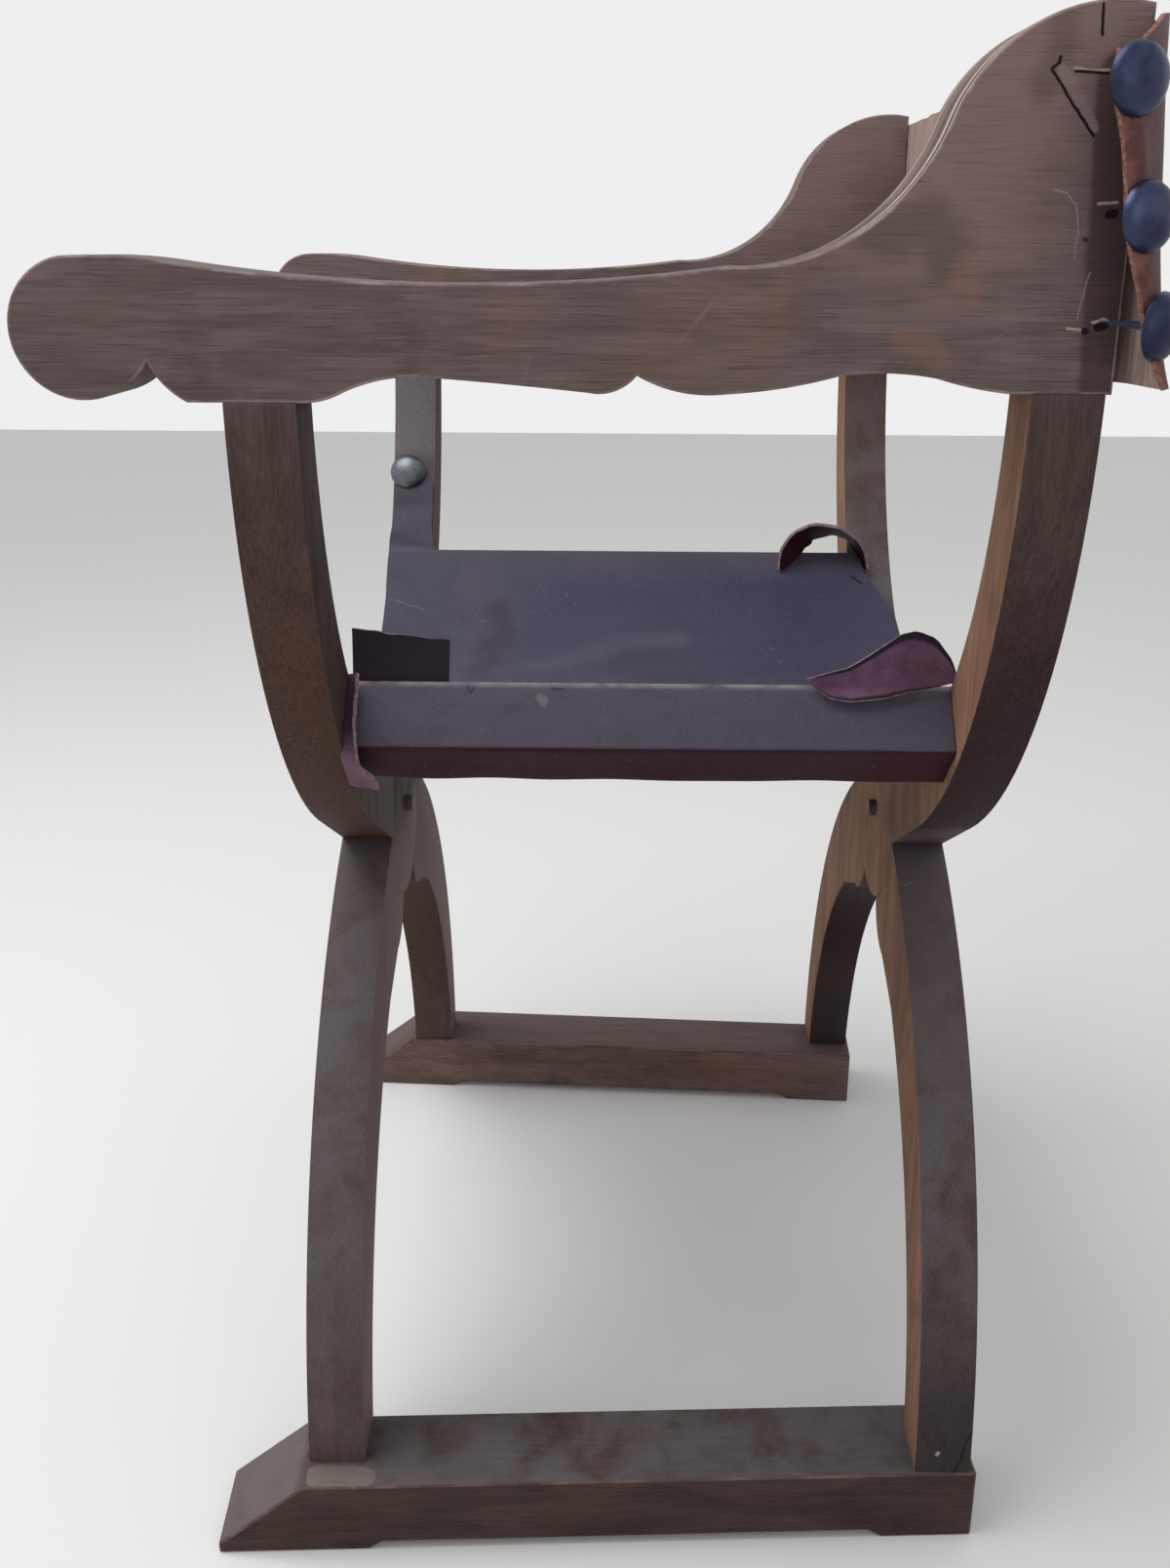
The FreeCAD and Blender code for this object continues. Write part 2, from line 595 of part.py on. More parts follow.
def block(name, length, width, height, spot, turn="0", axis=V(0, 0, 1)):
    """A block with its corner at spot."""
    box = doc.addObject("Part::Box", name)
    bind(box, Length=length, Width=width, Height=height)
    return place(box, *spot, turn, axis)


def prism(name, start, steps, length, spot, direction, turn, axis):
    """A closed outline drawn out along direction, for cutting."""
    outline = doc.addObject("Sketcher::SketchObject", name + "_outline")
    draw(outline, start, steps)
    place(outline, *spot, turn, axis)
    face = doc.addObject("Part::Face", name + "_face")
    face.Sources = [outline]
    return drawn_out(name, face, length, direction)


TOP_WIDTH = f"(Sizes.leg_top_reach - sqrt(Sizes.u_radius ^ 2 - ({CURVE_RISE} - Sizes.leg_top_rise) ^ 2))"
PIN_DOME_SHARE = 0.7
DOME_TOP_SHARE = 0.4
DOME_TOP_RISE_SHARE = 0.93
DOME_RIM_SHARE = 0.82
DOME_RIM_RISE_SHARE = 0.6
MORTISE_HALF = "(Sizes.tenon_length / 2 + Sizes.tenon_end_gap)"
TENON_HALF = "(Sizes.tenon_length / 2)"
SHANK_BORE = "Sizes.nail_shank_radius + Sizes.nail_clearance"
TACK_BORE = "Sizes.tack_shank_radius + Sizes.nail_clearance"
TACK_SIDES = 8
SHANK_SIDES = 4

mortises = {side: joint_blocks(f"{side}_mortise", side, "Sizes.tenon_clearance", MORTISE_HALF) for side in SIDES}
tenons = {side: joint_blocks(f"{side}_tenon", side, "0", TENON_HALF) for side in SIDES}

# The seat rail's section with the leather's clearance, and the corners that the leather passes.
HALF_DEPTH = "(Sizes.seat_rail_depth / 2 + Sizes.leather_gap)"
HALF_HEIGHT = "(Sizes.seat_rail_height / 2 + Sizes.leather_gap)"


def seat_corners(side):
    """The seat leather's inner surface at a rail: tacked end, lower, upper and ridge corners."""
    return [rail_spot(side, f"{HALF_DEPTH} - Sizes.seat_lap", f"-{HALF_HEIGHT}"),
            rail_spot(side, HALF_DEPTH, f"-{HALF_HEIGHT}"),
            rail_spot(side, HALF_DEPTH, HALF_HEIGHT),
            rail_spot(side, f"-{HALF_DEPTH}", HALF_HEIGHT)]


left_corners = seat_corners(1)
right_corners = seat_corners(-1)
RIDGE_REACH, RIDGE_LEVEL = left_corners[3]
SAG_STEP = ("arc", ("0", f"{RIDGE_LEVEL} - Sizes.seat_sag"), right_corners[3])
APRON_FRONT = "-Sizes.apron_overhang"
APRON_REAR = f"({INNER_REAR} + Sizes.apron_rear)"
SHEET_FRONT = f"{INNER_FRONT} + Sizes.leather_gap"
SHEET_DEPTH = f"{INNER_REAR} - {INNER_FRONT} - 2 * Sizes.leather_gap"
UPRIGHT = ("90", V(1, 0, 0))
BACKWARDS = V(0, 1, 0)

wrap = sheet_of("seat_wrap", left_corners[0],
                [("line", corner) for corner in left_corners[1:]] + [SAG_STEP]
                + [("line", corner) for corner in right_corners[2::-1]],
                "-Sizes.seat_hide", SHEET_DEPTH, ("0", SHEET_FRONT, "0"), BACKWARDS, *UPRIGHT)
band = sheet_of("seat_apron", left_corners[3], [SAG_STEP], "Sizes.seat_hide",
                f"{APRON_REAR} + Sizes.apron_overhang", ("0", APRON_FRONT, "0"), BACKWARDS, *UPRIGHT)

# The ear that runs up the right front leg's inner curve to its nail.
EAR_RADIUS = "(Sizes.u_radius - Sizes.leather_gap)"


def on_curve(rise):
    """A spot of the ear's back on the legs' inner curve, at a rise over the pivot."""
    return f"-sqrt({EAR_RADIUS} ^ 2 - ({CURVE_RISE} - {rise}) ^ 2)", f"Sizes.pivot_rise + {rise}"


ear = sheet_of("seat_ear", on_curve("Sizes.ear_foot_rise"),
               [("arc", on_curve("(Sizes.ear_foot_rise + Sizes.ear_rise) / 2"), on_curve("Sizes.ear_rise"))],
               "Sizes.seat_hide", "Sizes.leg_thickness + Sizes.apron_overhang - Sizes.leather_gap",
               ("0", APRON_FRONT, "0"), BACKWARDS, *UPRIGHT)

# The left rear ear, torn from its leg, lies along the ridge of the left seat rail.
flap_foot = rail_spot(1, f"-{HALF_DEPTH} + Sizes.flap_lap", f"{HALF_HEIGHT} + Sizes.seat_hide / 2")
flap_top = (RIDGE_REACH, f"{RIDGE_LEVEL} + Sizes.seat_hide + Sizes.flap_rise")
flap_middle = (f"{RIDGE_REACH} + Sizes.flap_lap / 2", f"{RIDGE_LEVEL} + Sizes.seat_hide + Sizes.flap_rise / 2")
flap_strip = sheet_of("seat_flap_strip", flap_foot, [("arc", flap_middle, flap_top)], "-Sizes.seat_hide",
                      "Sizes.flap_length", ("0", f"{INNER_REAR} - Sizes.leather_gap - Sizes.flap_length", "0"),
                      BACKWARDS, *UPRIGHT)
FLAP_PEAK_SHARE = 0.65
FLAP_END_SHARE = 0.5
leaf_low = f"{RIDGE_LEVEL} - Sizes.seat_rail_height"
leaf_start = ("0", leaf_low)
leaf = prism("seat_flap_leaf", leaf_start, [
    ("line", ("0", RIDGE_LEVEL)),
    ("arc", (f"Sizes.flap_length * {FLAP_PEAK_SHARE}", f"{RIDGE_LEVEL} + Sizes.seat_hide + Sizes.flap_rise"),
     ("Sizes.flap_length", f"{RIDGE_LEVEL} + Sizes.flap_rise * {FLAP_END_SHARE}")),
    ("line", ("Sizes.flap_length", leaf_low)),
    ("line", leaf_start)],
    f"{RIDGE_REACH} + Sizes.flap_length",
    ("0", f"{INNER_REAR} - Sizes.leather_gap - Sizes.flap_length", "0"), V(1, 0, 0), "120", V(1, 1, 1))
flap = doc.addObject("Part::Common", "seat_flap")
flap.Base = flap_strip
flap.Tool = leaf

# The right rear ear, torn from its leg, is curled forwards over the seat.
CURL_REAR = f"({INNER_REAR} + Sizes.curl_root)"
curl_foot = f"{RIDGE_LEVEL} - Sizes.curl_drop"
curl_strip = sheet_of("seat_curl_strip", (CURL_REAR, curl_foot), [
    ("line", (CURL_REAR, RIDGE_LEVEL)),
    ("arc", (f"{CURL_REAR} - Sizes.curl_length / 2", f"{RIDGE_LEVEL} + Sizes.curl_rise"),
     (f"{CURL_REAR} - Sizes.curl_length", curl_foot))],
    "Sizes.seat_hide", "Sizes.curl_width", (f"Sizes.seat_hide - {RIDGE_REACH}", "0", "0"), V(1, 0, 0),
    "120", V(1, 1, 1))
under_low = f"{RIDGE_LEVEL} - Sizes.seat_sag - Sizes.overrun"
under_seat = prism("under_seat", left_corners[3], [
    SAG_STEP,
    ("line", (f"-{RIDGE_REACH}", under_low)),
    ("line", (RIDGE_REACH, under_low)),
    ("line", left_corners[3])],
    f"{APRON_REAR} + Sizes.overrun", ("0", "0", "0"), BACKWARDS, *UPRIGHT)
curl = cut("seat_curl", curl_strip, [under_seat])

# The torn front corner: its band is gone from the left front leg to past the middle.
tear_front = f"{APRON_FRONT} - Sizes.overrun"
tear_inner = block("seat_tear", "Sizes.tear_reach + Sizes.tear_end",
                   "Sizes.overrun + Sizes.apron_overhang + Sizes.leg_thickness + Sizes.tear_depth",
                   "Sizes.seat_rail_rise + Sizes.ear_rise", ("-Sizes.tear_reach", tear_front, "Sizes.pivot_rise"))
tear_leg = block("seat_tear_leg", "Sizes.leg_top_reach",
                 "Sizes.overrun + Sizes.apron_overhang + Sizes.leg_thickness + Sizes.leather_gap",
                 "Sizes.seat_rail_rise + Sizes.ear_rise", ("0", tear_front, "Sizes.pivot_rise"))

# The ear's nail stands square to the leg's inner curve.
nail_sine = f"(({CURVE_RISE} - Sizes.ear_nail_rise) / Sizes.u_radius)"
nail_cosine = f"sqrt(1 - {nail_sine} ^ 2)"
nail_chord = ("sqrt((Sizes.u_radius - 2 * Sizes.leather_gap - Sizes.seat_hide) ^ 2"
              " - Sizes.ear_nail_radius ^ 2)")
ear_nail_spot = (f"-{nail_chord} * {nail_cosine}", "Sizes.ear_nail_inset",
                 f"Sizes.pivot_rise + {CURVE_RISE} - {nail_chord} * {nail_sine}")
ear_nail_into = V(-worked_out(nail_cosine), 0, -worked_out(nail_sine))
ear_nail = nail("ear_nail", "Sizes.ear_nail_radius", "Sizes.ear_nail_dome", "Sizes.ear_nail_length",
                ear_nail_spot, ear_nail_into)
ear_nail_bore = bar("ear_nail_bore", SHANK_SIDES, SHANK_BORE, "Sizes.ear_nail_length + Sizes.tenon_end_gap",
                    ear_nail_spot, ear_nail_into)

# Small tacks hold the seat leather under each rail.
TACK_COUNT = 5
tacks = {}
tack_bores = {}
tilt = worked_out("Sizes.seat_rail_tilt")
for side_name, side in SIDES.items():
    tacks[side_name] = []
    tack_bores[side_name] = []
    upwards = FreeCAD.Rotation(V(0, 1, 0), side * tilt).multVec(V(0, 0, 1))
    across, upward = rail_spot(side, f"{HALF_DEPTH} - Sizes.tack_inset",
                               f"-({HALF_HEIGHT} + Sizes.seat_hide + Sizes.leather_gap)")
    for number in range(TACK_COUNT):
        share = (number + 0.5) / TACK_COUNT
        along = f"{INNER_FRONT} + ({INNER_REAR} - {INNER_FRONT}) * {share}"
        spot = (across, along, upward)
        tacks[side_name].append(tack(f"{side_name}_tack_{number}", spot, upwards))
        tack_bores[side_name].append(bar(f"{side_name}_tack_bore_{number}", SHANK_SIDES, TACK_BORE,
                                         "Sizes.tack_length + Sizes.tenon_end_gap", spot, upwards))

seat_whole = fuse("seat_whole", [wrap, band, ear, flap, curl])
torn_seat = cut("torn_seat", cut("half_torn_seat", seat_whole, [tear_inner]), [tear_leg])
seat_leather = cut("seat_leather", torn_seat, [ear_nail_bore] + tack_bores["left"] + tack_bores["right"])

# The back leather: tight round the right wing, loose and standing off at the left one.
NAIL_ALONG = f"({REAR_EDGE} - Sizes.nail_inset)"
OUTSIDE = "Sizes.leg_top_reach"
BEHIND = f"{REAR_EDGE} + Sizes.leather_gap"
lean_sine = "sin(Sizes.nail_tilt)"
lean_cosine = "cos(Sizes.nail_tilt)"
flange = (f"({OUTSIDE} + Sizes.wrap_stand_off)",
          f"({NAIL_ALONG} + Sizes.wrap_stand_off * {lean_sine} / {lean_cosine})")


def on_flange(forwards):
    """A spot of the loose end's inner surface, so far in front of its nails."""
    return f"{flange[0]} + {forwards} * {lean_sine}", f"{flange[1]} - {forwards} * {lean_cosine}"


back_whole = sheet_of("back_whole", (f"-({OUTSIDE} + Sizes.leather_gap)", f"{REAR_EDGE} - Sizes.back_wrap"), [
    ("line", (f"-({OUTSIDE} + Sizes.leather_gap)", BEHIND)),
    ("line", (f"{OUTSIDE} - Sizes.wrap_leave", BEHIND)),
    ("arc", (f"{OUTSIDE} - Sizes.bulge_reach", f"{REAR_EDGE} + Sizes.wrap_bulge"),
     on_flange("-Sizes.flange_rear")),
    ("line", on_flange("Sizes.flange_front"))],
    "-Sizes.back_hide", "Sizes.back_height",
    ("0", "0", f"{ARM_FLOOR} + Sizes.wing_height - Sizes.back_inset - Sizes.back_height"), V(0, 0, 1))

NAIL_COUNT = 3
back_nails = {"left": [], "right": []}
nail_bores = {"left": [], "right": []}
outwards = FreeCAD.Rotation(V(0, 0, 1), worked_out("Sizes.nail_tilt")).multVec(V(1, 0, 0))
seat_of_head = "(Sizes.back_hide + Sizes.leather_gap)"
for number in range(NAIL_COUNT):
    level = f"{ARM_FLOOR} + Sizes.wing_height - Sizes.nail_row_top - {number} * Sizes.nail_pitch"
    spots = {
        "left": (f"{flange[0]} + {seat_of_head} * {lean_cosine}",
                 f"{flange[1]} + {seat_of_head} * {lean_sine}", level),
        "right": (f"-({OUTSIDE} + Sizes.leather_gap + {seat_of_head})", NAIL_ALONG, level),
    }
    ways = {"left": outwards.negative(), "right": V(1, 0, 0)}
    for side_name, spot in spots.items():
        back_nails[side_name].append(nail(
            f"{side_name}_back_nail_{number}", "Sizes.back_nail_radius", "Sizes.back_nail_dome",
            "Sizes.back_nail_length", spot, ways[side_name]))
        nail_bores[side_name].append(bar(
            f"{side_name}_nail_bore_{number}", SHANK_SIDES, SHANK_BORE,
            "Sizes.back_nail_length + Sizes.tenon_end_gap", spot, ways[side_name]))
back_leather = cut("back_leather", back_whole, nail_bores["left"] + nail_bores["right"])

# Cut the joints into the wood and name every sub-part.
for side_name in SIDES:
    other = OPPOSITE[side_name]
    near = mortises[side_name]
    finish(cut(f"{side_name}_arm_bored", arm(side_name),
               [near["top", "front"], near["top", "rear"]] + nail_bores[side_name]), f"{side_name}_arm")
    for row in ROWS:
        holes = [near["top", row], near["foot", row], near["rail", row]]
        if (row, side_name) == ("front", "right"):
            holes = holes + [ear_nail_bore]
        finish(cut(f"{row}_{side_name}_bored", leg(row, side_name), holes), f"{row}_leg_{side_name}")
    finish(cut(f"{side_name}_foot_bored", foot_rail(side_name),
               [mortises[other]["foot", "front"], mortises[other]["foot", "rear"]]), f"{side_name}_foot_rail")
    finish(cut(f"{side_name}_seat_bored", seat_rail(side_name),
               [near["rail", "front"], near["rail", "rear"]] + tack_bores[side_name]), f"{side_name}_seat_rail")
    for joint, word, owner in (("top", "arm", side_name), ("foot", "foot", other), ("rail", "rail", side_name)):
        pair = [tenons[side_name][joint, row] for row in ROWS]
        finish(group(f"{side_name}_{joint}_pair", pair), f"{owner}_{word}_tenons")
    finish(group(f"{side_name}_tack_row", tacks[side_name]), f"{side_name}_seat_tacks")
    finish(group(f"{side_name}_nail_row", back_nails[side_name]), f"{side_name}_back_nails")
for row in ROWS:
    finish(pivot_pin(row), f"{row}_pivot_pin")
finish(seat_leather, "seat_leather")
finish(back_leather, "back_leather")
finish(ear_nail, "seat_ear_nail")

doc.recompute()
whole = finished[0].Shape.optimalBoundingBox()
for thing in finished[1:]:
    whole.add(thing.Shape.optimalBoundingBox())
for alias, middle in (("middle_across", whole.Center.x), ("middle_along", whole.Center.y)):
    middles.set(MIDDLES[alias], str(round(middle, 4)))
doc.recompute()

for thing in doc.Objects:
    if "Invalid" in thing.State or "Error" in thing.State:
        raise RuntimeError(f"{thing.Name} failed to rebuild")
for thing in finished:
    shape = thing.Shape
    if shape.isNull() or not shape.isValid() or not shape.Solids:
        raise RuntimeError(f"{thing.Label} has no valid solid")
    shape.exportStep(f"parts/{thing.Label}.step")
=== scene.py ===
import math

import bmesh
import bpy
import numpy as np
from mathutils import Matrix, Vector


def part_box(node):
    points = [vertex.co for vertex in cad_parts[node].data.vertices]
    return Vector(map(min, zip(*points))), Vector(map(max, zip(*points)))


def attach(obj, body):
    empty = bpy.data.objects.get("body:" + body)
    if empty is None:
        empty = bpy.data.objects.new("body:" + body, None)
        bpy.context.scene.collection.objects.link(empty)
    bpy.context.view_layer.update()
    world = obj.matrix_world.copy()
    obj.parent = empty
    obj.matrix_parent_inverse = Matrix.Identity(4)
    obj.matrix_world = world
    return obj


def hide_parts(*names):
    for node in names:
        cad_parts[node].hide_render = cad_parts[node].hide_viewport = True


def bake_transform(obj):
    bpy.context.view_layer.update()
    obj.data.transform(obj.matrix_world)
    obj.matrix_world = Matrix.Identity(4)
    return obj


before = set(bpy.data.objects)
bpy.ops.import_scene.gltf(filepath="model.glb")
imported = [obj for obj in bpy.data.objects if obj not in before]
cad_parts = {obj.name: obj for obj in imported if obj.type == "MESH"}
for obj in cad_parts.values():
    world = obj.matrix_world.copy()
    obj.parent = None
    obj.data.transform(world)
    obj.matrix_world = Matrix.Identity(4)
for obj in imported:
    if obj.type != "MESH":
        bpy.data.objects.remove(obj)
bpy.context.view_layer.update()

bl_info = {
    "name": "Folding X-frame armchair",
    "version": (1, 0, 0),
    "blender": (4, 5, 0),
    "location": "View3D > Sidebar > Chair",
    "description": "Dresses the packed folding armchair in worn walnut, torn leather and domed nails",
    "category": "Object",
}

# Sizes here are millimetres. Across is measured from the pivot pins, +X to the sitter's left, along
# from the front face of the front legs, +Y to the rear, and heights from the floor.
PIN_LOW, PIN_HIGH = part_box("front_pivot_pin")
MIDDLE_ACROSS = 500 * (PIN_LOW.x + PIN_HIGH.x)
MIDDLE_ALONG = 1000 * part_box("front_leg_left")[0].y
PIVOT_RISE = 391
LEG = 35
SPACING = 385
OUTSIDE = 321
ARM_FLOOR = 711
ARM_FRONT = -101
ARM_LENGTH = 524
WING = 173
REAR_EDGE = ARM_FRONT + ARM_LENGTH
CURVE_RADIUS = 281
CURVE_HEIGHT = 730
RAIL_REACH = 208
RAIL_HEIGHT = 513.5
RAIL_TILT = math.radians(46)
RAIL_HALF_DEPTH = 20.3
RAIL_HALF_HEIGHT = 17.3
HIDE = 2.5
BACK_HIDE = 2.8
GAP = 0.3
CRACK = (0.008, 0.005, 0.005)


def length(name, description, default, low, high):
    """A setting in metres."""
    return bpy.props.FloatProperty(name=name, description=description, default=default,
                                   unit="LENGTH", min=low, max=high)


def paint(name, description, default):
    """A colour setting."""
    return bpy.props.FloatVectorProperty(name=name, description=description, default=default,
                                         subtype="COLOR", min=0, max=1)


class ChairSizes(bpy.types.PropertyGroup):
    """Sizes of the dressed pieces that a user would change."""

    arris: length("Arris", "Rounding of the legs' and rails' long edges", 0.0014, 0.0002, 0.003)
    arm_arris: length("Arm arris", "Rounding of the arm boards' long edges", 0.0026, 0.0002, 0.004)
    groove: length("Wing groove", "Depth of the moulded groove on the wings' upper edge", 0.0028, 0.0, 0.005)
    seat_hide: length("Seat hide", "Thickness of the seat leather", 0.0025, 0.0015, 0.0025)
    back_hide: length("Back hide", "Thickness of the back leather", 0.0028, 0.0015, 0.0028)
    waves: length("Waves", "Height of the slung seat's soft waves", 0.0016, 0.0, 0.003)


class ChairColours(bpy.types.PropertyGroup):
    """Colours of the chair's finishes."""

    arm_wood: paint("Arm walnut", "Faded stained walnut of the arms", (0.138, 0.099, 0.096))
    leg_wood: paint("Leg walnut", "Stained walnut of the legs and rails", (0.084, 0.053, 0.047))
    raw_wood: paint("Raw wood", "Unstained inner faces of the X-frames", (0.285, 0.155, 0.1))
    dust: paint("Dust", "Grey dust on upward faces", (0.116, 0.1, 0.103))
    seat: paint("Seat leather", "Faded purple-grey of the seat leather", (0.055, 0.047, 0.078))
    # Maroon of unfaded seat leather with painted shade in it, for faces turned sideways and down.
    seat_maroon_and_shade: paint("Unfaded seat leather", "Maroon of the seat leather where it hasn't faded",
                     (0.023, 0.0012, 0.0065))
    suede: paint("Seat suede", "Flesh side of the seat leather", (0.14, 0.064, 0.115))
    back: paint("Back leather", "Red-brown outside of the back leather", (0.118, 0.062, 0.064))
    flesh: paint("Back flesh side", "Tan flesh side of the back leather", (0.38, 0.275, 0.24))
    iron: paint("Nail iron", "Dark blue-grey iron of the domed nails", (0.03, 0.038, 0.082))


class ChairStage(bpy.types.PropertyGroup):
    """Camera and light."""

    lens: bpy.props.FloatProperty(
        name="Lens", description="Focal length that matches the photographed perspective",
        default=34.82, unit="CAMERA", min=10, max=200)
    key_power: bpy.props.FloatProperty(
        name="Key light", description="Power of the large soft light above the front",
        default=31, unit="POWER", min=0, max=500)
    fill_power: bpy.props.FloatProperty(
        name="Fill light", description="Power of the soft light on the camera's side",
        default=6, unit="POWER", min=0, max=500)
    sky: bpy.props.FloatProperty(
        name="Surround", description="Strength of the even light from all round",
        default=0.62, min=0, max=3)


def placed(points):
    """Millimetres from the pins, the front legs and the floor, turned into metres of the chair's frame."""
    return (points + np.array([MIDDLE_ACROSS, MIDDLE_ALONG, 0.0])) * 0.001


def smooth(values, low, high):
    """Rises from 0 at low to 1 at high along 3t^2 - 2t^3."""
    share = np.clip((values - low) / (high - low), 0, 1)
    return share * share * (3 - 2 * share)


def ripple(first, second, seed):
    """A repeatable soft waviness between -1 and 1: the mean of four sines of different directions."""
    total = np.zeros(np.broadcast(first, second).shape)
    for step in range(4):
        turn = 2.4 * step + seed
        reach = 1 + 0.63 * step
        total = total + np.sin(reach * (first * np.cos(turn) + second * np.sin(turn)) + 1.7 * seed + step)
    return total / 4


def object_of(name, verts, faces):
    """A mesh object at the origin from millimetre points and faces."""
    mesh = bpy.data.meshes.new(name)
    mesh.from_pydata(placed(verts).tolist(), [], [list(face) for face in faces])
    mesh.validate()
    thing = bpy.data.objects.new(name, mesh)
    bpy.context.scene.collection.objects.link(thing)
    return thing


def ring_faces(rings, count):
    """The numbers of rings of count points, those of the next point in each ring, and the quads between."""
    index = np.arange(rings * count).reshape(rings, count)
    following = np.roll(index, -1, axis=1)
    quads = np.stack([index[:-1], following[:-1], following[1:], index[1:]], axis=-1)
    return index, following, quads.reshape(-1, 4)


def joined(mesh, distance, flatten=False):
    """Join a mesh's points that lie within a distance, and make its flat faces whole if asked."""
    work = bmesh.new()
    work.from_mesh(mesh)
    bmesh.ops.remove_doubles(work, verts=work.verts, dist=distance)
    if flatten:
        bmesh.ops.dissolve_limit(work, angle_limit=math.radians(0.4), verts=work.verts, edges=work.edges)
    work.to_mesh(mesh)
    work.free()


def stored(mesh, name, values, domain="POINT"):
    """Store a number on each point or edge of a mesh."""
    mesh.attributes.new(name, "FLOAT", domain).data.foreach_set("value", values.astype(np.float32))


def applied(thing):
    """Fix a piece's modifiers into its mesh."""
    ready = thing.evaluated_get(bpy.context.evaluated_depsgraph_get())
    mesh = bpy.data.meshes.new_from_object(ready, preserve_all_data_layers=True,
                                           depsgraph=bpy.context.evaluated_depsgraph_get())
    thing.modifiers.clear()
    old = thing.data
    thing.data = mesh
    bpy.data.meshes.remove(old)
    return thing


def shaded(thing, angle):
    """Smooth faces with creases where two faces meet at more than angle degrees."""
    mesh = thing.data
    mesh.polygons.foreach_set("use_smooth", np.ones(len(mesh.polygons), dtype=bool))
    mesh.set_sharp_from_angle(angle=math.radians(angle))
    return thing


def given(thing, *materials):
    """Give a new mesh its materials, which its modifiers then choose from by number."""
    thing.data.materials.clear()
    for material in materials:
        thing.data.materials.append(material)
    return thing


def softened(thing, method, width, segments):
    """Round a piece's arrises, in its second material."""
    soft = thing.modifiers.new("arris", "BEVEL")
    soft.limit_method = method
    soft.angle_limit = math.radians(28)
    soft.width = width
    soft.segments = segments
    soft.material = 1
    return shaded(applied(thing), 32)


def thickened(sheet, thickness, *materials):
    """Thicken a hide inwards, with materials for its outside, its inside and its cut edges."""
    given(sheet, *materials)
    thick = sheet.modifiers.new("hide", "SOLIDIFY")
    thick.thickness = thickness
    thick.offset = -1
    thick.material_offset = 1
    thick.material_offset_rim = 2
    return shaded(applied(sheet), 50)


def finish_piece(thing, slot, body, *replaced):
    """Hide the CAD nodes that a piece stands for, and attach it to its body if it rides on one; slot is not
    used.
    """
    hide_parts(*replaced)
    if body:
        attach(thing, body)


def bend(begin, middle, end, count):
    """Count points after begin on the circle through three points, the last of them end."""
    begin, middle, end = (np.array(point, float) for point in (begin, middle, end))
    first, second = middle - begin, end - begin
    twice = 2 * (first[0] * second[1] - first[1] * second[0])
    lean = np.array([second[1] * (first @ first) - first[1] * (second @ second),
                     first[0] * (second @ second) - second[0] * (first @ first)]) / twice
    centre = begin + lean
    turns = [math.atan2(*(point - centre)[::-1]) for point in (begin, middle, end)]
    way = 1 if twice > 0 else -1
    sweep = (way * (turns[2] - turns[0])) % (2 * math.pi)
    angles = turns[0] + way * sweep * np.linspace(0, 1, count + 1)[1:]
    return centre + np.linalg.norm(lean) * np.stack([np.cos(angles), np.sin(angles)], axis=-1)


def run_along(path):
    """How far along a path each of its points lies."""
    return np.concatenate([[0], np.cumsum(np.linalg.norm(np.diff(path, axis=0), axis=1))])


def spots_along(path, places):
    """The points that lie some distances along a path."""
    return np.stack([np.interp(places, run_along(path), path[:, axis]) for axis in range(2)], axis=-1)


def spread(points, shares):
    """The points that lie some shares of its length along a path."""
    path = np.array(points, float)
    return spots_along(path, shares * run_along(path)[-1])


def headings(path):
    """Unit vectors along a path at its points."""
    ahead = np.gradient(path, axis=0)
    return ahead / np.linalg.norm(ahead, axis=1)[:, None]


def along_path(corners, radii, spacing):
    """An open path through corners with each inner corner rounded to its radius, at an even spacing."""
    points = [np.array(corners[0], float)]
    for before, corner, after, radius in zip(corners, corners[1:], corners[2:], radii):
        before, corner, after = (np.array(point, float) for point in (before, corner, after))
        back = (before - corner) / np.linalg.norm(before - corner)
        ahead = (after - corner) / np.linalg.norm(after - corner)
        half = math.acos(np.clip(back @ ahead, -1, 1)) / 2
        reach = radius / math.tan(half)
        middle = corner + (back + ahead) / np.linalg.norm(back + ahead) * (radius / math.sin(half) - radius)
        points.append(corner + back * reach)
        points.extend(bend(corner + back * reach, middle, corner + ahead * reach, 8))
    points.append(np.array(corners[-1], float))
    points = np.array(points)
    lengths = run_along(points)
    return spots_along(points, np.unique(np.concatenate([np.arange(0, lengths[-1], spacing), lengths])))


